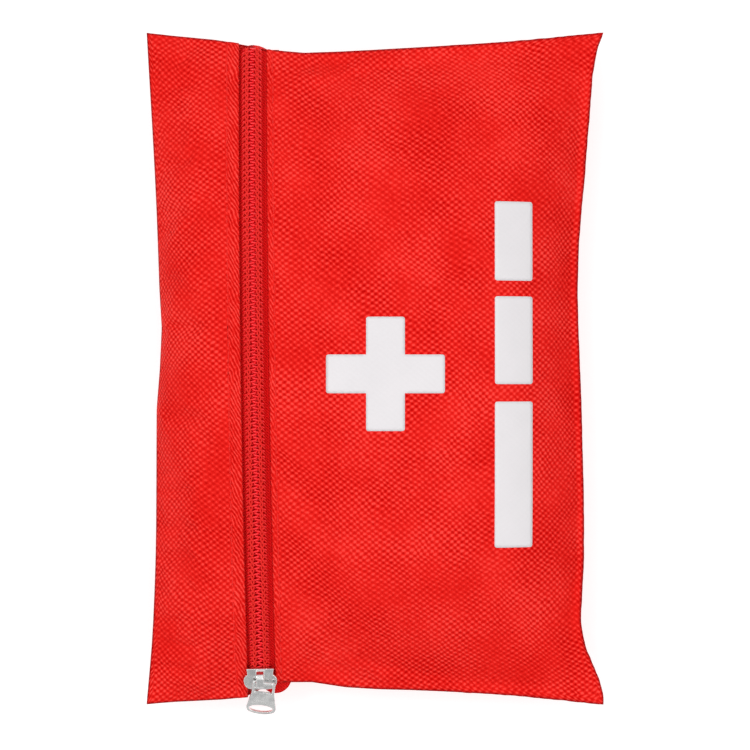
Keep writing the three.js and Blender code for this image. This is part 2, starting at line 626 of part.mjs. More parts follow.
function armGeometry(side) {
  const bow = (y) => ARM_BOW * Math.sin((Math.PI * -y) / ARM_LENGTH);
  const inner = (y) => GAP / 2 + ARM_SPLAY * (-y / ARM_LENGTH) + bow(y);
  const count = 12;
  const along = Array.from({ length: count + 1 }, (_, i) => (-ARM_LENGTH * i) / count);
  const near = along.map((y) => [side * inner(y), y]);
  const far = along.map((y) => [side * (inner(y) + ARM_THICKNESS), y]).reverse();
  const blank = toSolid(plate(outline([...near, ...far]), -ARM_HALF_WIDTH, ARM_HALF_WIDTH));
  const [start, tip] = [2, -ARM_LENGTH - 1];
  const taper = outline([
    [start, -ARM_HALF_WIDTH], [start, ARM_HALF_WIDTH], [TAPER_Y, ARM_HALF_WIDTH],
    [tip, TIP_HALF_WIDTH], [tip, -TIP_HALF_WIDTH], [TAPER_Y, -ARM_HALF_WIDTH],
  ]);
  return toGeometry(blank.intersect(toSolid(crossPlate(taper, 20))));
}

function addTweezers() {
  for (const [name, side] of [['fixed', -1], ['moving', 1]]) {
    addMesh(`tweezers_arm_${name}`, armGeometry(side), STEEL).position.set(...TWEEZERS_PLACE);
  }
}

addPanels();
addZip();
addSlider();
addPrint();
addDressings();
addTapeRoll();
addPlasters();
addScissors();
addTweezers();

export default kit;
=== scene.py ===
"""Looks for a soft first aid kit: woven cloth, a coil zip, a cast slider, prints and packed contents.

Lengths are in metres, and MM turns millimetres into metres. Places come from the CAD frame.
A lattice is a numpy array of points, rows by columns by 3, with rows along the pouch."""

import json
import math
import random

import bmesh
import bpy
import numpy as np
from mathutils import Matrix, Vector, kdtree, noise
from mathutils.bvhtree import BVHTree


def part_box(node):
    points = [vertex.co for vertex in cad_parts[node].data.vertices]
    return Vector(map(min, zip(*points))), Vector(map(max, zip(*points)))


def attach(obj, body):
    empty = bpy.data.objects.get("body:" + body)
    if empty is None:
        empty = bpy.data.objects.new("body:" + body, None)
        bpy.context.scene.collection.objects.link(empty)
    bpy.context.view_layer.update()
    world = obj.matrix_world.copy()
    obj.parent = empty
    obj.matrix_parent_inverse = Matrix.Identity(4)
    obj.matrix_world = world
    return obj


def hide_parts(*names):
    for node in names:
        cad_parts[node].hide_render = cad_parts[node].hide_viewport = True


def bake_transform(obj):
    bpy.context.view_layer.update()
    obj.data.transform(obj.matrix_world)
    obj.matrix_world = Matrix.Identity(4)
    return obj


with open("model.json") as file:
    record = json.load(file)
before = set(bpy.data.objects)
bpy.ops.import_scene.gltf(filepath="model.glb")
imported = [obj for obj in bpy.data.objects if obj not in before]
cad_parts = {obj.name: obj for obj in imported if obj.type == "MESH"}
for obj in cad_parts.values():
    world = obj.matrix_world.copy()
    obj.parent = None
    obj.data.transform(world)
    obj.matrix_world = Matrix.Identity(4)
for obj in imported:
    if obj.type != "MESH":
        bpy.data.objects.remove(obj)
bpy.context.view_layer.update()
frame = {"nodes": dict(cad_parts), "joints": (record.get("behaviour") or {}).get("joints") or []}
NODES = frame["nodes"]
JOINTS = {joint["name"]: joint for joint in frame["joints"]}
SCENE = bpy.context.scene
MM = 0.001
UP = np.array((0.0, 0.0, 1.0))


# ---------------------------------------------------------------- lattices and meshes
def quads(rows, cols, wrap=False, start=0):
    """Faces of a lattice whose points are numbered row by row from start."""
    faces = []
    for row in range(rows - 1):
        for col in range(cols if wrap else cols - 1):
            a = start + row * cols + col
            b = start + row * cols + (col + 1) % cols
            faces.append((a, b, b + cols, a + cols))
    return faces


def border(rows, cols):
    """The numbers of the lattice's outer points, anticlockwise from its first point."""
    bottom = list(range(cols))
    right = [row * cols + cols - 1 for row in range(1, rows)]
    top = [(rows - 1) * cols + col for col in range(cols - 2, -1, -1)]
    left = [row * cols for row in range(rows - 2, 0, -1)]
    return bottom + right + top + left


def normals(lattice):
    across = np.gradient(lattice, axis=1)
    along = np.gradient(lattice, axis=0)
    normal = np.cross(across, along)
    return normal / np.maximum(np.linalg.norm(normal, axis=2, keepdims=True), 1e-12)


def refine(lattice):
    """Twice as fine, with smooth points between the ones it keeps."""
    for axis in (0, 1):
        line = np.moveaxis(lattice, axis, 0)
        padded = np.concatenate([2 * line[:1] - line[1:2], line, 2 * line[-1:] - line[-2:-1]])
        between = (9 * (padded[1:-2] + padded[2:-1]) - padded[:-3] - padded[3:]) / 16
        finer = np.empty((2 * len(line) - 1, *line.shape[1:]))
        finer[::2] = line
        finer[1::2] = between
        lattice = np.moveaxis(finer, 0, axis)
    return lattice


def full_turn(sides):
    """The angles of points spread evenly round a circle."""
    return np.linspace(0, 2 * math.pi, sides, endpoint=False)


def closing_ring(rows, sides):
    """Faces that join a wrapped lattice's last row to its first."""
    last = (rows - 1) * sides
    return [(last + i, last + (i + 1) % sides, (i + 1) % sides, i) for i in range(sides)]


def end_caps(rows, sides):
    """One face over a wrapped lattice's first row and one over its last."""
    last = (rows - 1) * sides
    return [tuple(range(sides))[::-1], tuple(last + i for i in range(sides))]


def add_object(name, points, faces, pattern=None):
    """A mesh object; pattern holds each point's place on the flat cloth or wrapper, in millimetres."""
    mesh = bpy.data.meshes.new(name)
    mesh.from_pydata(np.asarray(points).reshape(-1, 3).tolist(), [], faces)
    mesh.polygons.foreach_set("use_smooth", [True] * len(mesh.polygons))
    if pattern is not None:
        attribute = mesh.attributes.new("pattern", "FLOAT_VECTOR", "POINT")
        attribute.data.foreach_set("vector", np.asarray(pattern, np.float32).ravel())
    obj = bpy.data.objects.new(name, mesh)
    SCENE.collection.objects.link(obj)
    return obj


def closed_sheet(name, outer, inner, pattern):
    """Two lattices back to back, joined round their borders; both carry the same pattern."""
    rows, cols = outer.shape[:2]
    count = rows * cols
    faces = quads(rows, cols)
    faces += [face[::-1] for face in quads(rows, cols, start=count)]
    rim = border(rows, cols)
    faces += [(count + a, count + b, b, a) for a, b in zip(rim, rim[1:] + rim[:1])]
    points = np.concatenate([outer.reshape(-1, 3), inner.reshape(-1, 3)])
    flat = pattern.reshape(-1, 3)
    return add_object(name, points, faces, np.concatenate([flat, flat]))


def shell(name, outer, thickness, pattern):
    """A sheet whose inner face lies one thickness behind its outer face."""
    return closed_sheet(name, outer, outer - normals(outer) * thickness, pattern)


def tube(path, radius, sides=6):
    """Points and faces of a round thread along a path; radius is one number or one for each point."""
    path = np.asarray(path, float)
    tangent = np.gradient(path, axis=0)
    tangent /= np.linalg.norm(tangent, axis=1, keepdims=True)
    side = np.cross(tangent, UP + np.array((0.013, 0.007, 0.0)))
    side /= np.linalg.norm(side, axis=1, keepdims=True)
    other = np.cross(tangent, side)
    turn = full_turn(sides)
    size = np.broadcast_to(np.asarray(radius, float), (len(path),))[:, None, None]
    ring = np.cos(turn)[None, :, None] * side[:, None] + np.sin(turn)[None, :, None] * other[:, None]
    points = (path[:, None] + size * ring).reshape(-1, 3)
    return points, quads(len(path), sides, wrap=True) + end_caps(len(path), sides)


def join(parts):
    """One list of points and one of faces from many."""
    points, faces, start = [], [], 0
    for part_points, part_faces in parts:
        points.append(part_points)
        faces += [tuple(start + i for i in face) for face in part_faces]
        start += len(part_points)
    return np.concatenate(points), faces


def bake_modifiers(obj):
    graph = bpy.context.evaluated_depsgraph_get()
    mesh = bpy.data.meshes.new_from_object(obj.evaluated_get(graph), depsgraph=graph)
    obj.modifiers.clear()
    obj.data = mesh
    return obj


def surface_of(obj):
    graph = bpy.context.evaluated_depsgraph_get()
    return BVHTree.FromObject(obj, graph)


def smoothstep(value, low, high):
    share = np.clip((value - low) / (high - low), 0, 1)
    return share * share * (3 - 2 * share)


# ---------------------------------------------------------------- materials
class Nodes:
    """Short calls for the nodes of a material or of the world."""

    def __init__(self, owner):
        owner.use_nodes = True
        self.tree = owner.node_tree

    def feed(self, socket, value):
        if isinstance(value, bpy.types.NodeSocket):
            self.tree.links.new(value, socket)
        elif isinstance(value, (tuple, list)) and len(value) == 3 and len(socket.default_value) == 4:
            socket.default_value = (*value, 1.0)
        else:
            socket.default_value = value

    def node(self, kind, inputs=None, **settings):
        node = self.tree.nodes.new(kind)
        for key, value in settings.items():
            setattr(node, key, value)
        for key, value in (inputs or {}).items():
            self.feed(node.inputs[key], value)
        return node

    def math(self, operation, *values, clamp=False):
        node = self.node("ShaderNodeMath", operation=operation, use_clamp=clamp)
        for socket, value in zip(node.inputs, values):
            self.feed(socket, value)
        return node.outputs[0]

    def add(self, first, second, clamp=False):
        return self.math("ADD", first, second, clamp=clamp)

    def times(self, first, second):
        return self.math("MULTIPLY", first, second)

    def times_add(self, value, factor, addend):
        return self.math("MULTIPLY_ADD", value, factor, addend)

    def scaled(self, vector, factors):
        node = self.node("ShaderNodeVectorMath", operation="MULTIPLY")
        self.feed(node.inputs[0], vector)
        self.feed(node.inputs[1], factors)
        return node.outputs[0]

    def split(self, vector):
        return self.node("ShaderNodeSeparateXYZ", {"Vector": vector}).outputs

    def noise(self, vector, scale, detail=2.0, roughness=0.5):
        inputs = {"Vector": vector, "Scale": scale, "Detail": detail, "Roughness": roughness}
        return self.node("ShaderNodeTexNoise", inputs).outputs["Fac"]

    def centred(self, value, amount):
        """A value from 0 to 1 turned into one from -amount / 2 to amount / 2."""
        return self.times_add(value, amount, -amount / 2)

    def mix(self, factor, first, second):
        node = self.node("ShaderNodeMix", data_type="RGBA")
        self.feed(node.inputs["Factor"], factor)
        self.feed(node.inputs[6], first)
        self.feed(node.inputs[7], second)
        return node.outputs[2]

    def wave(self, value, period):
        """A cosine of the value with the given period, from -1 to 1."""
        return self.math("COSINE", self.times_add(value, 2 * math.pi / period, 0.0))

    def ranged(self, value, low, high, to_low=0.0, to_high=1.0):
        inputs = {"Value": value, "From Min": low, "From Max": high, "To Min": to_low, "To Max": to_high}
        return self.node("ShaderNodeMapRange", inputs).outputs[0]


class Shader(Nodes):
    """A Principled material."""

    def __init__(self, name, roughness=0.6, metallic=0.0):
        self.material = bpy.data.materials.new(name)
        super().__init__(self.material)
        self.surface = self.tree.nodes["Principled BSDF"]
        self.set("Roughness", roughness)
        self.set("Metallic", metallic)

    def set(self, name, value):
        self.feed(self.surface.inputs[name], value)

    def pattern(self):
        """Place on the flat cloth, in millimetres."""
        return self.node("ShaderNodeAttribute", attribute_name="pattern").outputs["Vector"]

    def place(self):
        """Place on the object at rest, in millimetres."""
        place = self.node("ShaderNodeTexCoord").outputs["Object"]
        return self.scaled(place, (1000, 1000, 1000))

    def bump(self, height, distance, strength):
        inputs = {"Height": height, "Distance": distance, "Strength": strength}
        self.set("Normal", self.node("ShaderNodeBump", inputs).outputs[0])


# The weave's colours follow its height: the dark one is painted shade in the holes between the floats, the
# bright one the floats with a painted highlight, and the glint a painted highlight on the highest floats.
CLOTH_DARK = (0.54, 0.0, 0.0)
CLOTH_BRIGHT = (1.0, 0.026, 0.019)
CLOTH_GLINT = (1.0, 0.085, 0.07)
# painted shade in the seam's fold, near the cloth's sewn edges
SEAM_FOLD_SHADE = (0.16, 0.0, 0.002)
# In millimetres:
WEAVE_ACROSS = 1.1  # from one bump of the weave to the next row of bumps
WEAVE_ALONG = 0.87
HEM_RIB = 1.15  # from one slanted rib of the hem to the next
TAPE_RIB = 0.86
TAPE_CORD = 0.8
THREAD_TWIST = 0.42


def weave_height(shader, u, v):
    """Oxford weave: raised floats in a brick layout, with holes between them, from -1 to 1; colours built on
    it paint the holes dark as shade and the floats bright as highlight.
    """
    across = shader.wave(u, 2 * WEAVE_ACROSS)
    along = shader.wave(v, 2 * WEAVE_ALONG)
    return shader.times(across, along)


def woven_cloth():
    shader = Shader("red_woven_cloth", roughness=0.7)
    pattern = shader.pattern()
    u, v, edge = shader.split(pattern)
    hem = shader.math("MAXIMUM", edge, 0.0)
    seam = shader.ranged(edge, 0.0, -1.0)
    drift = shader.centred(shader.noise(pattern, 0.045, 3, 0.55), 5.0)
    jitter = shader.centred(shader.noise(pattern, 0.5, 2), 0.9)
    shift = shader.add(drift, jitter)
    u = shader.add(u, shift)
    v = shader.add(v, shader.times(shift, 0.6))
    uneven = shader.centred(shader.noise(pattern, 0.7, 2), 0.8)
    contrast = shader.ranged(shader.noise(pattern, 0.07, 3), 0.35, 0.65, 0.55, 1.1)
    height = shader.times_add(weave_height(shader, u, v), contrast, uneven)
    diagonal = shader.add(shader.times(v, 0.58), u)
    rib = shader.add(shader.wave(diagonal, HEM_RIB), shader.times(uneven, 1.6))
    weave_or_rib = shader.node("ShaderNodeMix", {"Factor": hem, 2: height, 3: rib}, data_type="FLOAT")
    height = weave_or_rib.outputs[0]
    fibre = shader.noise(shader.scaled(pattern, (6.0, 1.8, 1.0)), 1.5, 3)
    balance = shader.ranged(shader.noise(pattern, 0.05, 2), 0.33, 0.67, -0.12, 0.28)
    tone = shader.ranged(shader.add(height, balance), -1.0, 1.0)
    tone = shader.add(tone, shader.centred(fibre, 0.3), clamp=True)
    # painted shade and highlight: dark in the weave's holes, bright on its floats
    colour = shader.mix(tone, CLOTH_DARK, CLOTH_BRIGHT)
    # painted highlight: the highest floats take the pale glint colour
    colour = shader.mix(shader.ranged(tone, 0.6, 1.15), colour, CLOTH_GLINT)
    # painted shade: the cloth darkens in the seam's fold near its sewn edges
    colour = shader.mix(shader.times(seam, 0.7), colour, SEAM_FOLD_SHADE)
    shader.set("Base Color", colour)
    shader.set("Roughness", shader.ranged(tone, 0, 1, 0.8, 0.6))
    shader.set("Sheen Weight", 0.1)
    shader.set("Sheen Roughness", 0.3)
    shader.set("Sheen Tint", (1.0, 0.45, 0.4))
    shader.set("Specular IOR Level", 0.03)
    relief = shader.times_add(fibre, 0.3, height)
    shader.bump(relief, 0.15 * MM, 0.8)
    return shader.material


def zip_tape():
    shader = Shader("red_zip_tape", roughness=0.7)
    pattern = shader.pattern()
    u, v, _ = shader.split(pattern)
    slanted = shader.add(v, shader.times(shader.math("ABSOLUTE", u), 0.9))
    rib = shader.wave(slanted, TAPE_RIB)
    cord = shader.wave(u, TAPE_CORD)
    height = shader.times_add(cord, 0.4, rib)
    tone = shader.ranged(height, -1.2, 1.2)
    shader.set("Base Color", shader.mix(tone, (0.66, 0.0, 0.001), (1.0, 0.012, 0.012)))
    shader.set("Specular IOR Level", 0.1)
    shader.bump(height, 0.1 * MM, 0.8)
    return shader.material


def coil_nylon():
    shader = Shader("red_coil_nylon", roughness=0.36)
    cloud = shader.noise(shader.place(), 0.5, 2)
    shader.set("Base Color", shader.mix(cloud, (0.84, 0.003, 0.008), (1.0, 0.014, 0.022)))
    shader.set("Specular IOR Level", 0.45)
    shader.bump(cloud, 0.03 * MM, 0.4)
    return shader.material


def thread():
    shader = Shader("red_thread", roughness=0.55)
    x, y, _ = shader.split(shader.place())
    twist = shader.wave(shader.add(shader.times(x, 1.6), y), THREAD_TWIST)
    tone = shader.ranged(twist, -1, 1)
    shader.set("Base Color", shader.mix(tone, (0.82, 0.004, 0.004), (1.0, 0.055, 0.045)))
    shader.set("Specular IOR Level", 0.1)
    shader.bump(twist, 0.05 * MM, 0.7)
    return shader.material


def printed_ink():
    shader = Shader("white_print_ink", roughness=0.5)
    pattern = shader.pattern()
    u, v, _ = shader.split(pattern)
    height = weave_height(shader, u, v)
    cloud = shader.noise(pattern, 0.08, 3)
    grain = shader.noise(pattern, 2.4, 2)
    # faint painted shade and highlight: the weave's height darkens the ink in the holes and lightens it on
    # the floats, over a random cloud
    tone = shader.times_add(height, 0.06, cloud)
    shader.set("Base Color", shader.mix(tone, (0.73, 0.705, 0.72), (0.79, 0.76, 0.775)))
    shader.set("Specular IOR Level", 0.15)
    shader.set("Roughness", shader.ranged(grain, 0.3, 0.7, 0.42, 0.6))
    shader.bump(shader.times_add(grain, 0.4, height), 0.05 * MM, 0.35)
    return shader.material


def cast_metal(name, bright, dull, roughness, grain=(1.0, 1.0, 1.0), size=0.9, depth=0.02):
    """Plated or brushed metal; grain stretches the fine scratches along an axis."""
    shader = Shader(name, roughness, metallic=1.0)
    place = shader.place()
    cloud = shader.noise(place, size, 4)
    scratch = shader.noise(shader.scaled(place, grain), 5.0, 3)
    shader.set("Base Color", shader.mix(shader.ranged(cloud, 0.35, 0.7), bright, dull))
    shader.set("Roughness", shader.ranged(scratch, 0.3, 0.7, roughness - 0.07, roughness + 0.09))
    shader.bump(shader.times_add(scratch, 0.6, cloud), depth * MM, 0.7)
    return shader.material


def moulded_plastic(name, colour, roughness, texture=2.2):
    shader = Shader(name, roughness)
    grain = shader.noise(shader.place(), texture, 3)
    darker = tuple(channel * 0.86 for channel in colour)
    shader.set("Base Color", shader.mix(grain, darker, colour))
    shader.set("Roughness", shader.ranged(grain, 0.3, 0.7, roughness - 0.06, roughness + 0.08))
    shader.bump(grain, 0.03 * MM, 0.5)
    return shader.material


def open_weave(name, thread_colour, gap_colour, across, along, depth, ridge=0.0):
    """Bandage cloth: threads with holes between them; ridge adds crepe's lengthwise crinkle."""
    shader = Shader(name, roughness=0.9)
    pattern = shader.pattern()
    u, v, _ = shader.split(pattern)
    wobble = shader.centred(shader.noise(pattern, 0.5, 3), 0.8)
    warp = shader.wave(shader.add(u, wobble), across)
    weft = shader.wave(shader.add(v, wobble), along)
    height = shader.math("MAXIMUM", warp, weft)
    if ridge:
        crinkle = shader.noise(shader.scaled(pattern, (0.5, 2.4, 1.0)), 0.8, 3)
        height = shader.times_add(crinkle, ridge, height)
    tone = shader.ranged(height, -0.4, 1.0 + 0.5 * ridge)
    shader.set("Base Color", shader.mix(tone, gap_colour, thread_colour))
    shader.set("Sheen Weight", 0.2)
    shader.bump(height, depth * MM, 0.9)
    return shader.material


STRIPE_HALF = 4.5  # millimetres


def wrapper_paper(name, colour, tint, stripe=None):
    """Coated paper or film, faintly crumpled; stripe is a band colour across the packet."""
    shader = Shader(name, roughness=0.55)
    pattern = shader.pattern()
    fibre = shader.noise(shader.scaled(pattern, (1.0, 0.5, 1.0)), 1.3, 4)
    crumple = shader.noise(pattern, 0.12, 4, 0.6)
    base = shader.mix(fibre, tint, colour)
    if stripe is not None:
        band = shader.math("COMPARE", shader.split(pattern)[1], 0.0, STRIPE_HALF)
        base = shader.mix(shader.times(band, 0.9), base, stripe)
    shader.set("Base Color", base)
    shader.set("Roughness", shader.ranged(crumple, 0.3, 0.7, 0.4, 0.65))
    shader.bump(shader.times_add(fibre, 0.08, crumple), 0.6 * MM, 0.45)
    return shader.material


def crinkled_foil():
    shader = Shader("gold_foil", roughness=0.24, metallic=0.9)
    pattern = shader.pattern()
    cells = shader.node("ShaderNodeTexVoronoi", {"Vector": pattern, "Scale": 0.22}, feature="F1")
    crease = shader.noise(pattern, 0.2, 5, 0.65)
    height = shader.times_add(cells.outputs["Distance"], 0.5, crease)
    shader.set("Base Color", shader.mix(crease, (0.55, 0.33, 0.06), (0.86, 0.62, 0.2)))
    shader.set("Roughness", shader.ranged(crease, 0.3, 0.7, 0.16, 0.34))
    shader.bump(height, 1.1 * MM, 0.8)
    return shader.material


PAPER_WHITE = (0.88, 0.88, 0.87)

MATERIALS = {
    "cloth": woven_cloth(),
    "tape": zip_tape(),
    "coil": coil_nylon(),
    "thread": thread(),
    "ink": printed_ink(),
    "nickel": cast_metal("cast_nickel", (0.86, 0.86, 0.85), (0.66, 0.66, 0.66), 0.2, size=0.45, depth=0.05),
    "steel": cast_metal("brushed_steel", (0.66, 0.67, 0.68), (0.55, 0.56, 0.58), 0.3, (6.0, 0.4, 6.0)),
    "grip": moulded_plastic("dark_grip_plastic", (0.03, 0.032, 0.038), 0.5),
    "spool": moulded_plastic("pale_spool_plastic", (0.72, 0.78, 0.85), 0.35, 1.2),
    "gauze": open_weave("gauze_weave", (0.9, 0.88, 0.82), (0.6, 0.57, 0.5), 1.1, 1.0, 0.22),
    "crepe": open_weave("crepe_weave", (0.83, 0.68, 0.48), (0.52, 0.37, 0.22), 0.9, 0.7, 0.3, 1.4),
    "plaster": open_weave("adhesive_tape_cloth", (0.9, 0.89, 0.85), (0.76, 0.74, 0.69), 0.6, 0.5, 0.08),
    "paper": wrapper_paper("white_wrapper", PAPER_WHITE, (0.78, 0.79, 0.8)),
    "pad_paper": wrapper_paper("pad_wrapper", PAPER_WHITE, (0.8, 0.81, 0.8), (0.12, 0.42, 0.3)),
    "strip_paper": wrapper_paper(
        "plaster_wrapper", (0.88, 0.87, 0.85), (0.78, 0.77, 0.75), stripe=(0.75, 0.45, 0.28)
    ),
    "blue": wrapper_paper("wipe_sachet", (0.42, 0.64, 0.82), (0.28, 0.5, 0.7), (0.85, 0.88, 0.9)),
    "foil": crinkled_foil(),
}


def dress(obj, material, slot, *stands_for):
    obj.data.materials.clear()
    obj.data.materials.append(MATERIALS[material])
    if stands_for:
        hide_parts(*stands_for)
    return obj


# ---------------------------------------------------------------- the zip's own frame
ZIP = JOINTS["zip_travel"]
ZIP_CENTRE = np.array(ZIP["pos_m"], float)
ACROSS = -np.array(ZIP["axis"], float)
ALONG = np.cross(UP, ACROSS)


def node_points(node):
    return np.array([vertex.co for vertex in NODES[node].data.vertices], float).reshape(-1, 3)


def middle_and_size(node):
    low, high = (np.array(corner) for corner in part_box(node))
    return (low + high) / 2, high - low


def zip_place(points):
    """Distance across the zip, angle along it and distance from its axis for each point."""
    offset = points - ZIP_CENTRE
    across, along, up = offset @ ACROSS, offset @ ALONG, offset @ UP
    return across, np.arctan2(along, up), np.hypot(along, up)


_, coil_angle, coil_reach = zip_place(node_points("zip_coil_right"))
at_middle = coil_reach[np.abs(coil_angle) < 0.05]
CHAIN_RADIUS = (at_middle.min() + at_middle.max()) / 2
CHAIN_START = coil_angle.min() * CHAIN_RADIUS
strip_across, strip_angle, _ = zip_place(node_points("front_strip"))
beside_zip = strip_across > strip_across.max() - 2 * MM
CHAIN_END = strip_angle[beside_zip].max() * CHAIN_RADIUS + 1.1 * MM  # on the top seam
END_BEND = 4.5 * MM  # the last stretch, which rolls over the seam
ROLL_OVER = 2.0 * MM
END_ROUND = 0.08 / MM  # how soon the end falls back on both sides


def on_zip(across, along, lift):
    """Points of the zip, laid out flat as across, along and lift above the chain, bent onto its arc."""
    across, along, lift = np.broadcast_arrays(np.asarray(across, float), along, lift)
    end = smoothstep(along, CHAIN_END - END_BEND, CHAIN_END)
    angle = (along - END_ROUND * across ** 2 * end) / CHAIN_RADIUS
    reach = CHAIN_RADIUS + lift - ROLL_OVER * end ** 2
    place = ZIP_CENTRE + across[..., None] * ACROSS
    return place + (reach * np.sin(angle))[..., None] * ALONG + (reach * np.cos(angle))[..., None] * UP


def open_with_flap(obj):
    """Bakes the piece's placement into its mesh; it does not lift with the front flap."""
    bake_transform(obj)
    return obj


# ---------------------------------------------------------------- cloth
CLOTH_THICKNESS = 0.42 * MM
CLOTH_ROWS = 128
SIMULATION_SCALE = 10  # cloth settings suit things about a metre long
SIMULATION_FRAMES = 24


def outer_faces(node, side):
    """The node's faces that look up (side 1) or down (side -1), as a bmesh."""
    skin = bmesh.new()
    skin.from_mesh(NODES[node].data)
    bmesh.ops.remove_doubles(skin, verts=skin.verts, dist=1e-6)
    skin.normal_update()
    hidden = [face for face in skin.faces if face.normal.z * side < 0.05]
    bmesh.ops.delete(skin, geom=hidden, context="FACES")
    return skin


def outline_sides(skin, side):
    """The bottom, right, top and left edges of the skin, each from low to high x or y."""
    follow = {}
    for edge in skin.edges:
        if edge.is_boundary:
            loop = edge.link_loops[0]
            follow[loop.vert] = loop.link_loop_next.vert
    start = min(follow, key=lambda vertex: vertex.index)
    chain = [start]
    while follow[chain[-1]] is not start:
        chain.append(follow[chain[-1]])
    loop = np.array([vertex.co for vertex in chain], float)[::side]
    low, high = loop.min(0), loop.max(0)
    u, v = ((loop - low) / (high - low + 1e-12))[:, :2].T
    corners = [np.argmin(u + v), np.argmax(u - v), np.argmax(u + v), np.argmin(u - v)]

    def path(a, b):
        return np.roll(loop, -a, axis=0)[: (b - a) % len(loop) + 1]

    sides = [path(corners[i], corners[(i + 1) % 4]) for i in range(4)]
    return sides[0], sides[1], sides[2][::-1], sides[3][::-1]


def resample(chain, axis, shares):
    """Points of an edge at shares of its extent along x or y."""
    key = chain[:, axis]
    place = key[0] + (key[-1] - key[0]) * shares
    return np.stack([np.interp(place, key, chain[:, i]) for i in range(3)], axis=1)


def cloth_lattice(node, side, cols, rows, passes=10):
    """An even lattice over the node's outer face, with the facets smoothed out."""
    skin = outer_faces(node, side)
    s, t = np.linspace(0, 1, cols + 1), np.linspace(0, 1, rows + 1)
    bottom, right, top, left = outline_sides(skin, side)
    bottom, top = resample(bottom, 0, s), resample(top, 0, s)
    left, right = resample(left, 1, t), resample(right, 1, t)
    s, t = s[None, :, None], t[:, None, None]
    corners = (1 - s) * (1 - t) * bottom[0] + s * (1 - t) * bottom[-1]
    corners = corners + (1 - s) * t * top[0] + s * t * top[-1]
    lattice = (1 - t) * bottom[None] + t * top[None] + (1 - s) * left[:, None] + s * right[:, None] - corners
    tree = BVHTree.FromBMesh(skin)
    for row in range(1, rows):
        for col in range(1, cols):
            x, y, z = lattice[row, col]
            hit = tree.ray_cast(Vector((x, y, side)), Vector((0, 0, -side)))[0]
            if hit is None:
                hit = tree.find_nearest(Vector((x, y, z)))[0]
            lattice[row, col, 2] = hit.z
    skin.free()
    for _ in range(passes):
        z = lattice[..., 2]
        mean = (z[:-2, 1:-1] + z[2:, 1:-1] + z[1:-1, :-2] + z[1:-1, 2:]) / 4
        lattice[1:-1, 1:-1, 2] += 0.5 * (mean - z[1:-1, 1:-1])
    return lattice


def billow(lattice, pressure, excess, cap):
    """How the sewn-down cloth swells and puckers, by cloth simulation: an offset for each point.

    excess is the spare cloth as a share of its length, and cap the furthest that a point may move."""
    rows, cols = lattice.shape[:2]
    trial = add_object("cloth_trial", lattice * SIMULATION_SCALE, quads(rows, cols))
    pinned = trial.vertex_groups.new(name="sewn")
    pinned.add(border(rows, cols), 1.0, "REPLACE")
    cloth = trial.modifiers.new("cloth", "CLOTH")
    settings = cloth.settings
    settings.vertex_group_mass = "sewn"
    settings.quality = 6
    settings.mass = 0.25
    settings.tension_stiffness = settings.compression_stiffness = 25
    settings.shear_stiffness = 12
    settings.bending_stiffness = 1.2
    settings.use_pressure = True
    settings.uniform_pressure_force = pressure
    settings.shrink_min = -excess
    settings.effector_weights.gravity = 0
    cloth.collision_settings.use_self_collision = False
    cloth.point_cache.frame_start = 1
    cloth.point_cache.frame_end = SIMULATION_FRAMES
    for step in range(1, SIMULATION_FRAMES + 1):
        SCENE.frame_set(step)
    graph = bpy.context.evaluated_depsgraph_get()
    moved = trial.evaluated_get(graph)
    result = np.empty(rows * cols * 3, np.float32)
    moved.data.vertices.foreach_get("co", result)
    SCENE.frame_set(1)
    bpy.data.objects.remove(trial)
    offset = result.reshape(lattice.shape).astype(float) / SIMULATION_SCALE - lattice
    length = np.linalg.norm(offset, axis=2, keepdims=True)
    return offset * np.tanh(length / cap) * cap / np.maximum(length, 1e-9)


def noise_field(lattice, size, seed):
    """Smooth noise from about -1 to 1 over the lattice's x and y, with features of the given size."""
    field = np.empty(lattice.shape[:2])
    for index in np.ndindex(field.shape):
        x, y, _ = lattice[index] / size
        field[index] = noise.noise(Vector((x + seed, y - seed, seed * 0.37)))
    return field


def lengths(lattice, axis, zero):
    """Length along the lattice's rows (axis 1) or columns (axis 0), from line number zero."""
    step = np.linalg.norm(np.diff(lattice, axis=axis), axis=2)
    total = np.concatenate([np.zeros_like(np.take(step, [0], axis)), np.cumsum(step, axis=axis)], axis=axis)
    return total - np.take(total, [zero], axis)


# the width of the band along the sewn edges that gets the painted seam shade
SEAM_SHADE_WIDTH = 0.7 * MM
STIFF_EDGE = 9 * MM  # the seam keeps the cloth this near to it from crumpling
HEM_RISE = 0.35 * MM
STITCH_PULL = 0.4 * MM
GATHER_DEPTH = 0.45 * MM
BROAD_DEPTH, BROAD_SIZE = 0.8 * MM, 34 * MM  # shallow waves of the front
FINE_DEPTH, FINE_SIZE = 0.3 * MM, 13 * MM
FRONT_SEAMS = ("right", "bottom", "top")  # with the hem at the left
BACK_SEAMS = ("left", "right", "bottom", "top")


def hem_band(side, edge_node):
    """The width from the fold beside the zip to the topstitching."""
    stitch = zip_place(node_points(f"hem_stitch_{side}"))[0]
    fold = zip_place(node_points(edge_node))[0]
    return abs(np.abs(stitch).mean() - np.abs(fold).min())


def hem_profile(distance, band):
    """Height of the cloth near the fold: a raised double layer, then the pull of the stitches."""
    raised = HEM_RISE * (1 - smoothstep(distance, 0.8 * band, 1.2 * band + 1.5 * MM))
    pulled = STITCH_PULL * np.exp(-(((distance - band) / (0.8 * MM)) ** 2))
    return raised - pulled


# The folded edge: steps towards the zip and down from the cloth's outer face.
FOLD = [(0.26, 0.05), (0.46, 0.2), (0.55, 0.46), (0.46, 0.74)]
FOLD += [(0.2, 0.93), (-0.6, 1.0), (-2.0, 1.02), (-3.3, 1.04)]


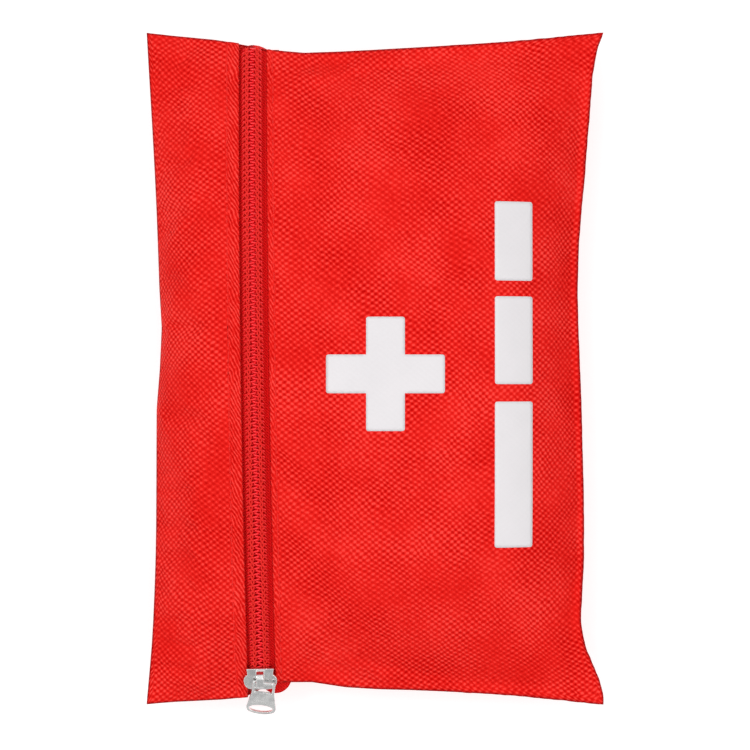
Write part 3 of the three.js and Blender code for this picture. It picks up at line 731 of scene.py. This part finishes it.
def add_fold(lattice, hem):
    """Columns that turn the cloth under beside the zip, at its first column (0) or its last (-1)."""
    columns = []
    for out, down in FOLD:
        towards = -out * ACROSS if hem == 0 else out * ACROSS
        columns.append(lattice[:, [hem]] + MM * (towards - down * normals(lattice)[:, [hem]]))
    return np.concatenate([*columns[::-1], lattice] if hem == 0 else [lattice, *columns], axis=1)


def edge_reach(lattice):
    """How far each point is from the lattice's four edges."""
    return {
        "left": lengths(lattice, 1, 0),
        "right": -lengths(lattice, 1, lattice.shape[1] - 1),
        "bottom": lengths(lattice, 0, 0),
        "top": -lengths(lattice, 0, lattice.shape[0] - 1),
    }


def edge_distance(lattice):
    """Roughly how far each point is from the nearest edge, from the spacing at two edges' middles."""
    rows, cols = lattice.shape[:2]
    row, col = np.mgrid[0:rows, 0:cols]
    wide = np.linalg.norm(lattice[rows // 2, 1] - lattice[rows // 2, 0])
    tall = np.linalg.norm(lattice[1, cols // 2] - lattice[0, cols // 2])
    to_side = np.minimum(col, cols - 1 - col) * wide
    to_end = np.minimum(row, rows - 1 - row) * tall
    return np.minimum(to_side, to_end)


SEAM_MIDDLE = (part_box("front_panel")[0].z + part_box("back_panel")[1].z) / 2
SEAM_CLOSING = 6 * MM


def close_seam(lattice, side, edges):
    """Bring the cloth's sewn edges to the middle of the seam, where they meet the other cloth."""
    reach = edge_reach(lattice)
    near = np.minimum.reduce([reach[edge] for edge in edges])
    share = 1 - smoothstep(near, 0.2 * MM, SEAM_CLOSING)
    if side > 0:
        share *= smoothstep(reach["left"], 4 * MM, 12 * MM)
    edge_z = lattice[..., 2].min() if side > 0 else lattice[..., 2].max()
    closed = lattice.copy()
    closed[..., 2] += share * (SEAM_MIDDLE + side * CLOTH_THICKNESS - edge_z)
    return closed


def seam_puckers(lattice, edges, seed):
    """Short gathers that run in from the sewn edges and die out."""
    depth = np.zeros(lattice.shape[:2])
    near = edge_reach(lattice)
    for number, edge in enumerate(edges):
        sideways = edge in ("left", "right")
        squeezed = lattice.copy()
        squeezed[..., 0 if sideways else 1] *= 0.12
        gather = noise_field(squeezed, 5.5 * MM, seed + 11.3 * number)
        depth += gather * np.exp(-near[edge] / (7 * MM)) * smoothstep(near[edge], 0, 2.5 * MM)
    return depth


def cloth_side(lattice, hem, band, seed, pressure, dimples=()):
    """The finished outer face of one side of the front; hem is the column at the zip, 0 or -1."""
    flipped = lattice[:, ::-1] if hem else lattice
    direction = 1 if hem else -1
    to_hem = lengths(flipped, 1, 0)
    free = smoothstep(to_hem, 4 * MM, 15 * MM)
    flipped = flipped + billow(flipped[:, ::-1], pressure, 0.02, 2.6 * MM)[:, ::-1] * free[..., None]
    inward = smoothstep(edge_distance(flipped), 0, STIFF_EDGE)
    relief = BROAD_DEPTH * noise_field(flipped, BROAD_SIZE, seed)
    relief = relief + FINE_DEPTH * noise_field(flipped, FINE_SIZE, seed + 5)
    for (x, y), (wide, tall), depth in dimples:
        spread = ((flipped[..., 0] - x) / wide) ** 2 + ((flipped[..., 1] - y) / tall) ** 2
        relief = relief - depth * np.exp(-spread)
    gathers = GATHER_DEPTH * seam_puckers(flipped, FRONT_SEAMS, seed)
    facing = normals(flipped) * -direction
    flipped = flipped + facing * ((relief * inward * free + gathers)[..., None])
    flipped = refine(flipped)
    facing = normals(flipped) * -direction
    flipped = flipped + facing * hem_profile(lengths(flipped, 1, 0), band)[..., None]
    flipped = close_seam(flipped, 1, FRONT_SEAMS)
    return flipped[:, ::-1] if hem else flipped


def weave_pattern(lattice, hem_col, band=0.0, ribbed=0.0):
    """Place on the flat cloth in millimetres, and a third value: above 0 how far the hem's ribs take
    over from the weave, and below 0 how deep in the seam's fold a point lies, where the cloth is painted with
    shade."""
    across = lengths(lattice, 1, hem_col)
    along = lengths(lattice, 0, lattice.shape[0] // 2)
    ribs = ribbed * (1 - smoothstep(np.abs(across), 0.85 * band, 1.05 * band + 1e-9))
    seam = 1 - smoothstep(edge_distance(lattice), 0, SEAM_SHADE_WIDTH)
    return np.stack([across / MM, along / MM, ribs - seam], axis=2)


CROSS = middle_and_size("cross_print")[0]


def front_cloth(node, side, hem, cols, seed, pressure, ribbed, dimples=()):
    """One side of the front, with its folded hem at its first column (0) or its last (-1)."""
    band = hem_band(side, node)
    lattice = cloth_side(cloth_lattice(node, 1, cols, CLOTH_ROWS), hem, band, seed, pressure, dimples)
    lattice = add_fold(lattice, hem)
    hem_col = len(FOLD) if hem == 0 else lattice.shape[1] - 1 - len(FOLD)
    cloth = shell(f"{node}_cloth", lattice, CLOTH_THICKNESS, weave_pattern(lattice, hem_col, band, ribbed))
    return dress(cloth, "cloth", "red_fabric", node)


def make_front():
    dimples = [
        ((CROSS[0] - 17 * MM, CROSS[1] - 27 * MM), (13 * MM, 9 * MM), 0.8 * MM),
        ((CROSS[0] - 12 * MM, CROSS[1] - 45 * MM), (9 * MM, 12 * MM), 0.5 * MM),
        ((CROSS[0] + 9 * MM, CROSS[1] - 36 * MM), (14 * MM, 7 * MM), 0.45 * MM),
    ]
    panel = front_cloth("front_panel", "right", 0, 66, 3.1, 2.0, 0.5, dimples)
    strip = front_cloth("front_strip", "left", -1, 20, 8.6, 1.6, 0.65)
    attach(strip, "pouch")
    return panel, strip


def make_back():
    lattice = cloth_lattice("back_panel", -1, 90, CLOTH_ROWS)
    inward = smoothstep(edge_distance(lattice), 0, STIFF_EDGE)
    high = smoothstep(lattice[..., 2], 0.3 * MM, 5 * MM)
    lattice = lattice + billow(lattice[:, ::-1], 1.2, 0.015, 1.6 * MM)[:, ::-1] * high[..., None]
    facing = -normals(lattice)
    relief = 0.35 * MM * noise_field(lattice, 22 * MM, 4.4) * inward * high
    relief += GATHER_DEPTH * seam_puckers(lattice, BACK_SEAMS, 5.2) * high
    lattice = lattice + facing * relief[..., None]
    lattice[..., 2] = np.maximum(lattice[..., 2], 0)
    lattice = close_seam(refine(lattice), -1, BACK_SEAMS)[:, ::-1]
    back = shell("back_panel_cloth", lattice, CLOTH_THICKNESS, weave_pattern(lattice, 0))
    dress(back, "cloth", "red_fabric", "back_panel")
    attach(back, "pouch")


# ---------------------------------------------------------------- zip
COIL_PITCH = 1.73 * MM
COIL_WIRE = 0.3 * MM
COIL_HEAD = 0.09 * MM  # the wire is wider at the heads, which lock between the other side's
COIL_REACH = (-0.5 * MM, 2.75 * MM)  # each side's loops cross the centre line a little
COIL_HEIGHT = {"left": 0.52 * MM, "right": 0.4 * MM}
BRAID_ACROSS = 1.55 * MM
BRAID_SWING = 0.42 * MM
BRAID_THREAD = 0.27 * MM
POINTS_PER_TURN = 14
TAPE_THICKNESS = 0.5 * MM
LIP_MIDDLE = 4.4 * MM  # the right tape's foot shows beside the slider as a rounded lip
LIP_HALF = 5 * MM
LIP_REACH = 6.2 * MM


def make_tape(side):
    """The tape under one coil: drawn to the top seam where it shows, and closed at its end."""
    node = f"zip_tape_{side}"
    lattice = cloth_lattice(node, 1, 26, 150, passes=4)
    across, angle, reach = zip_place(lattice.reshape(-1, 3))
    along = angle * CHAIN_RADIUS
    foot, end = along.min(), along.max()
    shown = 1 - smoothstep(np.abs(across), 4.8 * MM, 6.2 * MM)
    to_seam = shown * (CHAIN_END - end) * smoothstep(along, end - 25 * MM, end)
    joined = (1 - smoothstep(np.abs(across), 0.6 * MM, 3 * MM)) * smoothstep(along, end - 2 * MM, end)
    lip = np.sqrt(np.clip(1 - ((across - LIP_MIDDLE) / LIP_HALF) ** 2, 0, 1))
    to_lip = LIP_REACH * lip * (1 - smoothstep(along, foot, foot + 12 * MM))
    across = across * (1 - joined)
    lattice = on_zip(across, along + to_seam - to_lip, reach - CHAIN_RADIUS).reshape(lattice.shape)
    pattern = np.stack([(lattice - ZIP_CENTRE) @ ACROSS, lattice @ ALONG, 0 * lattice[..., 0]], axis=2) / MM
    tape = shell(f"zip_tape_{side}_woven", lattice, TAPE_THICKNESS, pattern)
    return dress(tape, "tape", "red_zip", node)


def make_coil(side, sign):
    """One side of the chain: a wire coil, a chain stitch along it, and slanted stitches to the tape."""
    turns = int((CHAIN_END - CHAIN_START) / COIL_PITCH) - 2
    offset = CHAIN_START + (COIL_PITCH if sign > 0 else COIL_PITCH / 2)
    phase = np.linspace(0, 2 * math.pi * turns, turns * POINTS_PER_TURN)
    middle, half = sum(COIL_REACH) / 2, (COIL_REACH[1] - COIL_REACH[0]) / 2
    along = offset + COIL_PITCH * phase / (2 * math.pi)
    height = COIL_HEIGHT[side]
    wire = on_zip(sign * (middle + half * np.cos(phase)), along, height * np.sin(phase))
    head = COIL_HEAD * np.exp(-(((np.cos(phase) + 1) / 0.25) ** 2))
    coil = add_object(f"zip_coil_{side}_wire", *tube(wire, COIL_WIRE + head))
    dress(coil, "coil", "red_zip", f"zip_coil_{side}")
    braid = []
    for start in (0, math.pi):
        swing = BRAID_SWING * np.cos(phase / 2 + start)
        rise = 0.74 * MM + 0.14 * MM * np.sin(phase / 2 + start)
        braid.append(tube(on_zip(sign * BRAID_ACROSS + swing, along, rise), BRAID_THREAD, 6))
    for turn in range(turns):
        at = offset + turn * COIL_PITCH
        share = np.linspace(0, 1, 6)
        across = (2.15 + 0.95 * share) * MM
        rise = (0.62 - 0.75 * share ** 2) * MM
        thickness = 0.24 * MM * np.sin(math.pi * (0.12 + 0.76 * share))
        braid.append(tube(on_zip(sign * across, at - 1.25 * MM * share, rise), thickness, 5))
    stitches = add_object(f"zip_chain_stitch_{side}", *join(braid))
    return coil, dress(stitches, "thread", "red_thread")


STITCH_LENGTH = 2.7 * MM
STITCH_GAP = 0.55 * MM
STITCH_RADIUS = 0.24 * MM


def make_topstitch(side, cloth):
    """Single stitches sunk into the cloth along the hem."""
    node = f"hem_stitch_{side}"
    across = zip_place(node_points(node))[0].mean()
    tree = surface_of(cloth)
    draw = random.Random(5 if side == "left" else 9)
    parts = []
    along = CHAIN_START - 1 * MM
    while along + STITCH_LENGTH < CHAIN_END:
        length = STITCH_LENGTH * draw.uniform(0.94, 1.04)
        share = np.linspace(0, 1, 8)
        sway = draw.uniform(-0.08, 0.08) * MM
        flat = on_zip(across + sway, along + length * share, 12 * MM)
        path = []
        for place, bow in zip(flat, np.sin(math.pi * share)):
            hit = tree.ray_cast(Vector(place), Vector(-UP))[0]
            if hit is not None:
                path.append(np.array(hit) + UP * (0.3 * bow - 0.2) * MM)
        if len(path) == len(share):
            parts.append(tube(path, STITCH_RADIUS * (0.75 + 0.25 * np.sin(math.pi * share)), 6))
        along += length + STITCH_GAP
    return dress(add_object(f"topstitch_{side}", *join(parts)), "thread", "red_thread", node)


def make_zip(panel, strip):
    for side, sign, cloth in (("left", -1, strip), ("right", 1, panel)):
        pieces = [make_tape(side), *make_coil(side, sign), make_topstitch(side, cloth)]
        for piece in pieces:
            if side == "right":
                open_with_flap(piece)
            else:
                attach(piece, "pouch")


def rounded_cad(node, voxel, passes, material, slot):
    """A cast part: the CAD node with its edges and joins melted together by modifiers."""
    obj = NODES[node]
    remesh = obj.modifiers.new("melt", "REMESH")
    remesh.mode = "VOXEL"
    remesh.voxel_size = voxel
    remesh.use_smooth_shade = True
    soften = obj.modifiers.new("soften", "SMOOTH")
    soften.factor = 0.5
    soften.iterations = passes
    return dress(obj, material, slot)


def bevelled_cad(node, width, material, slot):
    """A sheet metal part: the CAD node with fine bevels."""
    obj = NODES[node]
    bevel = obj.modifiers.new("edges", "BEVEL")
    bevel.width = width
    bevel.segments = 2
    bevel.limit_method = "ANGLE"
    bevel.angle_limit = math.radians(35)
    normal = obj.modifiers.new("normals", "WEIGHTED_NORMAL")
    normal.keep_sharp = True
    return dress(obj, material, slot)


# ---------------------------------------------------------------- prints
PRINT_CORNER = 0.7 * MM
PRINT_CELL = 1.1 * MM
PRINT_LIFT = 0.12 * MM


def film(name, cloth, boxes):
    """A printed film over boxes (low x, low y, high x, high y), laid on the cloth's outer face."""
    xs = sorted({box[i] for box in boxes for i in (0, 2)})
    ys = sorted({box[i] for box in boxes for i in (1, 3)})

    def lines(stops):
        counts = [max(2, round((b - a) / PRINT_CELL)) for a, b in zip(stops, stops[1:])]
        spans = [np.linspace(a, b, n + 1)[:-1] for a, b, n in zip(stops, stops[1:], counts)]
        return np.concatenate([*spans, [stops[-1]]])

    xs, ys = lines(xs), lines(ys)
    mesh = cloth.data
    tree = surface_of(cloth)
    nearest = kdtree.KDTree(len(mesh.vertices))
    for index, vertex in enumerate(mesh.vertices):
        nearest.insert(vertex.co, index)
    nearest.balance()
    cloth_pattern = mesh.attributes["pattern"].data
    numbers, points, pattern = {}, [], []

    def on_cloth(x, y):
        if (x, y) not in numbers:
            hit, normal, _, _ = tree.ray_cast(Vector((x, y, 1)), Vector((0, 0, -1)))
            place, index, _ = nearest.find(hit)
            numbers[x, y] = len(points)
            points.append(hit + normal * PRINT_LIFT)
            near = cloth_pattern[index].vector
            pattern.append((near.x + (hit.x - place.x) / MM, near.y + (hit.y - place.y) / MM, 0))
        return numbers[x, y]

    def printed(x, y):
        return any(x0 < x < x1 and y0 < y < y1 for x0, y0, x1, y1 in boxes)

    def corner(x, y, dx, dy):
        """A cell's corner at x, y, with the cell on its dx, dy side: one point, or an arc of points."""
        free = not (printed(x - dx, y + dy) or printed(x + dx, y - dy))
        if not (free and printed(x + dx, y + dy)):
            return [on_cloth(x, y)]
        start = math.atan2(-dy, -dx) - math.pi / 4
        arc = [start + share * math.pi / 2 for share in (0, 0.25, 0.5, 0.75, 1)]
        x += math.copysign(PRINT_CORNER, dx)
        y += math.copysign(PRINT_CORNER, dy)
        return [on_cloth(x + PRINT_CORNER * math.cos(a), y + PRINT_CORNER * math.sin(a)) for a in arc]

    faces, step = [], 0.1 * MM
    for x0, x1 in zip(xs, xs[1:]):
        for y0, y1 in zip(ys, ys[1:]):
            if printed((x0 + x1) / 2, (y0 + y1) / 2):
                corners = [(x0, y0, step, step), (x1, y0, -step, step)]
                corners += [(x1, y1, -step, -step), (x0, y1, step, -step)]
                faces.append([number for place in corners for number in corner(*place)])
    obj = add_object(name, points, faces, pattern)
    thick = obj.modifiers.new("thickness", "SOLIDIFY")
    thick.thickness = PRINT_LIFT + 0.1 * MM
    return bake_modifiers(obj)


def make_prints(cloth):
    low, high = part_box("cross_print")
    arm = arm_width()
    middle = (low + high) / 2
    beam = (low.x, middle.y - arm / 2, high.x, middle.y + arm / 2)
    upright = (middle.x - arm / 2, low.y, middle.x + arm / 2, high.y)
    cross = film("cross_film", cloth, [beam, upright])
    pieces = [dress(cross, "ink", "white_print", "cross_print")]
    for number in (1, 2, 3):
        low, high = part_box(f"label_bar_{number}")
        bar = film(f"label_bar_{number}_film", cloth, [(low.x, low.y, high.x, high.y)])
        pieces.append(dress(bar, "ink", "white_print", f"label_bar_{number}"))
    for piece in pieces:
        open_with_flap(piece)


def arm_width():
    """The width of the cross's arms: its left end's extent along y."""
    points = node_points("cross_print")
    end = points[points[:, 0] < points[:, 0].min() + 1e-5]
    return np.ptp(end[:, 1])


# ---------------------------------------------------------------- contents
CRIMP_PITCH = 1.25 * MM
SERRATION = 1.6 * MM  # from one tooth of a packet's cut end to the next


def make_packet(node, material, slot, seal, lumps, seed, crimp=0.12):
    """A heat-sealed packet: a flat ribbed border and a full middle, inside the CAD solid's box."""
    middle, size = middle_and_size(node)
    cols, rows = (max(24, int(size[i] / MM)) for i in (0, 1))
    x, y = np.meshgrid(np.linspace(-0.5, 0.5, cols) * size[0], np.linspace(-0.5, 0.5, rows) * size[1])
    to_edge = np.minimum(size[0] / 2 - np.abs(x), size[1] / 2 - np.abs(y))
    full = smoothstep(to_edge, 0.75 * seal, min(3.2 * seal, 0.45 * min(size[:2])))
    flat = np.stack([x, y, 0 * x], axis=2)
    lump = 1 + lumps * noise_field(flat, 12 * MM, seed + 1.7)
    sealed = 1 - smoothstep(to_edge, 0.6 * seal, 0.8 * seal)
    ribs = crimp * MM * np.sin(2 * math.pi * y / CRIMP_PITCH) * sealed
    rise = 0.12 * MM + (size[2] / 2 - 0.3 * MM) * full * np.clip(lump, 0.6, 1.0)
    ends = 0.35 * MM * np.sign(y) * (np.abs(((x / SERRATION) % 1) - 0.5) - 0.25)
    y = y + ends * smoothstep(np.abs(y), size[1] / 2 - seal / 2, size[1] / 2)
    top = np.stack([x, y, rise + ribs * 0.5], axis=2) + middle
    bottom = np.stack([x, y, -rise + ribs * 0.5], axis=2) + middle
    packet = closed_sheet(f"{node}_wrapper", top, bottom, np.stack([x, y, 0 * x], axis=2) / MM)
    dress(packet, material, slot, node)
    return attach(packet, "pouch")


ROLL_SIDES = 120
SPOOL_SIDES = 144
LIP = 0.3 * MM
TAPE_BORE = 11.3 * MM  # just clear of the spool


def roll_profile(inner, radius, layer):
    """Distance from the axis and place along it (-1 to 1), from one end's middle to the other's."""
    layers = max(4, int((radius - inner) / layer))
    end = np.linspace(inner, radius - 0.5 * MM, layers * 6)
    profile = [(r, -1) for r in end]
    profile += [(radius - 0.15 * MM, -0.985), (radius, -0.96)]
    profile += [(radius, place) for place in np.linspace(-0.94, 0.94, 30)]
    profile += [(radius, 0.96), (radius - 0.15 * MM, 0.985)]
    profile += [(r, 1) for r in end[::-1]]
    return profile


def make_roll(node, axis, material, slot, layer, bore=0.0, ridge=0.2, seed=0.0, soft=0.02):
    """A rolled strip: wound layers show as a spiral on both ends, and the loose end as a step."""
    middle, size = middle_and_size(node)
    radius = min(size[i] for i in range(3) if i != axis) / 2 - 0.1 * MM
    profile = roll_profile(bore or 0.4 * MM, radius, layer)
    angle = full_turn(ROLL_SIDES)
    step = layer * (angle / (2 * math.pi)) * 0.9
    rows = []
    for r, place in profile:
        wound, depth = np.full(ROLL_SIDES, r), np.zeros(ROLL_SIDES)
        if abs(place) == 1:
            spiral = r / layer - angle / (2 * math.pi)
            depth = ridge * MM * (1 - np.abs(np.sin(math.pi * spiral)))
            wound = np.minimum(wound, radius - step - 0.2 * MM)
        else:
            spots = [Vector((3 * math.cos(a), 3 * math.sin(a), place * 2 + seed)) for a in angle]
            wound = (wound - step) * (1 + soft * np.array([noise.noise(spot) for spot in spots]))
        reach = place * size[axis] / 2 - np.sign(place) * depth
        rows.append(np.stack([wound * np.cos(angle), wound * np.sin(angle), reach], axis=1))
    lattice = np.array(rows)
    count = len(lattice)
    faces = quads(count, ROLL_SIDES, wrap=True)
    faces += closing_ring(count, ROLL_SIDES) if bore else end_caps(count, ROLL_SIDES)
    if axis == 1:
        faces = [face[::-1] for face in faces]  # the swap of axes below mirrors the roll
    on_end = np.array([abs(place) == 1 for _, place in profile])[:, None]
    shares = np.linspace(0, 1, ROLL_SIDES, endpoint=False)[None] * np.ones((count, 1))
    around = np.where(on_end, lattice[..., 0] / MM, 2 * math.pi * radius * np.abs(shares * 2 - 1) / 2 / MM)
    down = np.where(on_end, lattice[..., 1] / MM, lattice[..., 2] / MM)
    order = {0: (2, 0, 1), 1: (0, 2, 1), 2: (0, 1, 2)}[axis]
    pattern = np.stack([around, down, 0 * around], axis=2)
    roll = add_object(f"{node}_wound", lattice[..., list(order)] + middle, faces, pattern)
    dress(roll, material, slot, node)
    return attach(roll, "pouch")


def make_spool():
    """The tape's core: a ring with rolled lips and inner ribs."""
    node = "tape_spool"
    middle, size = middle_and_size(node)
    outer, half = size[0] / 2, size[2] / 2
    inner = np.min(np.hypot(*(node_points(node) - middle)[:, :2].T))
    profile = [(inner, -half + LIP), (inner + LIP, -half), (outer - LIP, -half), (outer, -half + LIP)]
    profile += [(outer, half - LIP), (outer - LIP, half), (inner + LIP, half), (inner, half - LIP)]
    angle = full_turn(SPOOL_SIDES)
    rib = 0.35 * MM * np.clip(np.cos(8 * angle) * 6 - 5, 0, 1)
    rows = []
    for r, z in profile:
        reach = r - rib * (r < inner + 1e-9)
        rows.append(np.stack([reach * np.cos(angle), reach * np.sin(angle), np.full(SPOOL_SIDES, z)], axis=1))
    faces = quads(len(rows), SPOOL_SIDES, wrap=True) + closing_ring(len(rows), SPOOL_SIDES)
    spool = add_object("tape_spool_ribbed", np.array(rows) + middle, faces)
    spool.data.set_sharp_from_angle(angle=math.radians(40))
    dress(spool, "spool", "spool_plastic", node)
    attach(spool, "pouch")


def make_contents():
    make_packet("triangular_bandage_pack", "paper", "white_paper", 5 * MM, 0.3, 1.0)
    make_packet("foil_blanket_pack", "foil", "gold_foil", 4 * MM, 0.5, 2.0)
    for number in (1, 2, 3):
        make_packet(f"sterile_pad_{number}", "pad_paper", "white_paper", 5 * MM, 0.2, 3.0 + number)
        make_packet(f"alcohol_wipe_{number}", "blue", "blue_paper", 4 * MM, 0.3, 7.0 + number)
    for number in (1, 2, 3, 4):
        make_packet(f"plaster_{number}", "strip_paper", "white_paper", 2.5 * MM, 0.1, 12.0 + number, 0.05)
    for number in (1, 2):
        make_roll(f"gauze_roll_{number}", 1, "gauze", "gauze", 0.9 * MM, seed=number)
    make_roll("crepe_bandage_roll", 0, "crepe", "crepe", 1.4 * MM, ridge=0.35, seed=4.0, soft=0.03)
    make_roll("adhesive_tape_roll", 2, "plaster", "adhesive_tape", 0.45 * MM, TAPE_BORE, 0.08, 6.0, 0.002)
    make_spool()


def finish_tools():
    for name in ("fixed", "moving"):
        bevelled_cad(f"scissors_blade_{name}", 0.25 * MM, "steel", "steel")
        rounded_cad(f"scissors_handle_{name}", 0.3 * MM, 6, "grip", "handle_plastic")
        bevelled_cad(f"tweezers_arm_{name}", 0.15 * MM, "steel", "steel")
    bevelled_cad("scissors_rivet", 0.2 * MM, "steel", "steel")
    rounded_cad("slider_body", 0.11 * MM, 4, "nickel", "nickel")
    rounded_cad("pull_tab", 0.11 * MM, 4, "nickel", "nickel")


# ---------------------------------------------------------------- studio
CAMERA_HEIGHT = 0.9
CAMERA_AIM = (0.0, -1.93 * MM)
CAMERA_LENS = 145
FLOOR_Z = -0.1 * MM
PATCH_DIRECTION = (0.0, -0.68, 0.73)
SEAM_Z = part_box("front_panel")[0].z


def area_light(name, place, size, power, aim=(0, 0, 0)):
    data = bpy.data.lights.new(name, "AREA")
    data.shape = "DISK"
    data.size = size
    data.energy = power
    light = bpy.data.objects.new(name, data)
    light.location = place
    light.rotation_euler = (Vector(aim) - Vector(place)).to_track_quat("-Z", "Y").to_euler()
    SCENE.collection.objects.link(light)


def make_room_light():
    """White light from above. A dark band above the horizon and a grey patch towards the viewer's
    side give metal its contrast."""
    world = bpy.data.worlds.new("soft_room")
    room = Nodes(world)

    def ramp(value, stops):
        node = room.node("ShaderNodeValToRGB", {"Fac": value})
        elements = node.color_ramp.elements
        for place, _ in stops[2:]:
            elements.new(place)
        for element, (place, light) in zip(elements, stops):
            element.position = place
            element.color = (light, light, light, 1)
        return node.outputs["Color"]

    direction = room.node("ShaderNodeTexCoord").outputs["Generated"]
    by_height = ramp(room.split(direction)["Z"], [(0.0, 0.5), (0.1, 0.12), (0.3, 0.2), (0.42, 1.0)])
    from_patch = room.node("ShaderNodeVectorMath", {0: direction, 1: PATCH_DIRECTION}, operation="DISTANCE")
    by_patch = ramp(from_patch.outputs["Value"], [(0.16, 0.42), (0.34, 1.0)])
    seen = room.node("ShaderNodeLightPath").outputs["Is Camera Ray"]
    background = room.tree.nodes["Background"]
    room.feed(background.inputs["Color"], room.mix(seen, room.scaled(by_height, by_patch), (1, 1, 1)))
    background.inputs["Strength"].default_value = 0.97
    SCENE.world = world


def make_studio():
    corners = [(-3, -3), (3, -3), (3, 3), (-3, 3)]
    floor = add_object("floor", [(x, y, FLOOR_Z) for x, y in corners], [(0, 1, 2, 3)])
    paper = Shader("pale_floor", roughness=0.9)
    paper.set("Base Color", (0.5, 0.5, 0.5))
    paper.set("Emission Color", (1, 1, 1))
    paper.set("Emission Strength", 0.65)
    floor.data.materials.append(paper.material)
    make_room_light()
    area_light("key", (-0.5, 0.35, 1.1), 0.4, 3.2)
    area_light("fill", (0.5, -0.45, 1.1), 0.8, 2.0)
    data = bpy.data.cameras.new("camera")
    data.lens = CAMERA_LENS
    data.sensor_width = 36
    camera = bpy.data.objects.new("camera", data)
    camera.location = (*CAMERA_AIM, SEAM_Z + CAMERA_HEIGHT)
    SCENE.collection.objects.link(camera)
    SCENE.camera = camera
    SCENE.view_settings.view_transform = "Standard"


panel, strip = make_front()
make_back()
make_zip(panel, strip)
make_prints(panel)
open_with_flap(panel)
make_contents()
finish_tools()
make_studio()
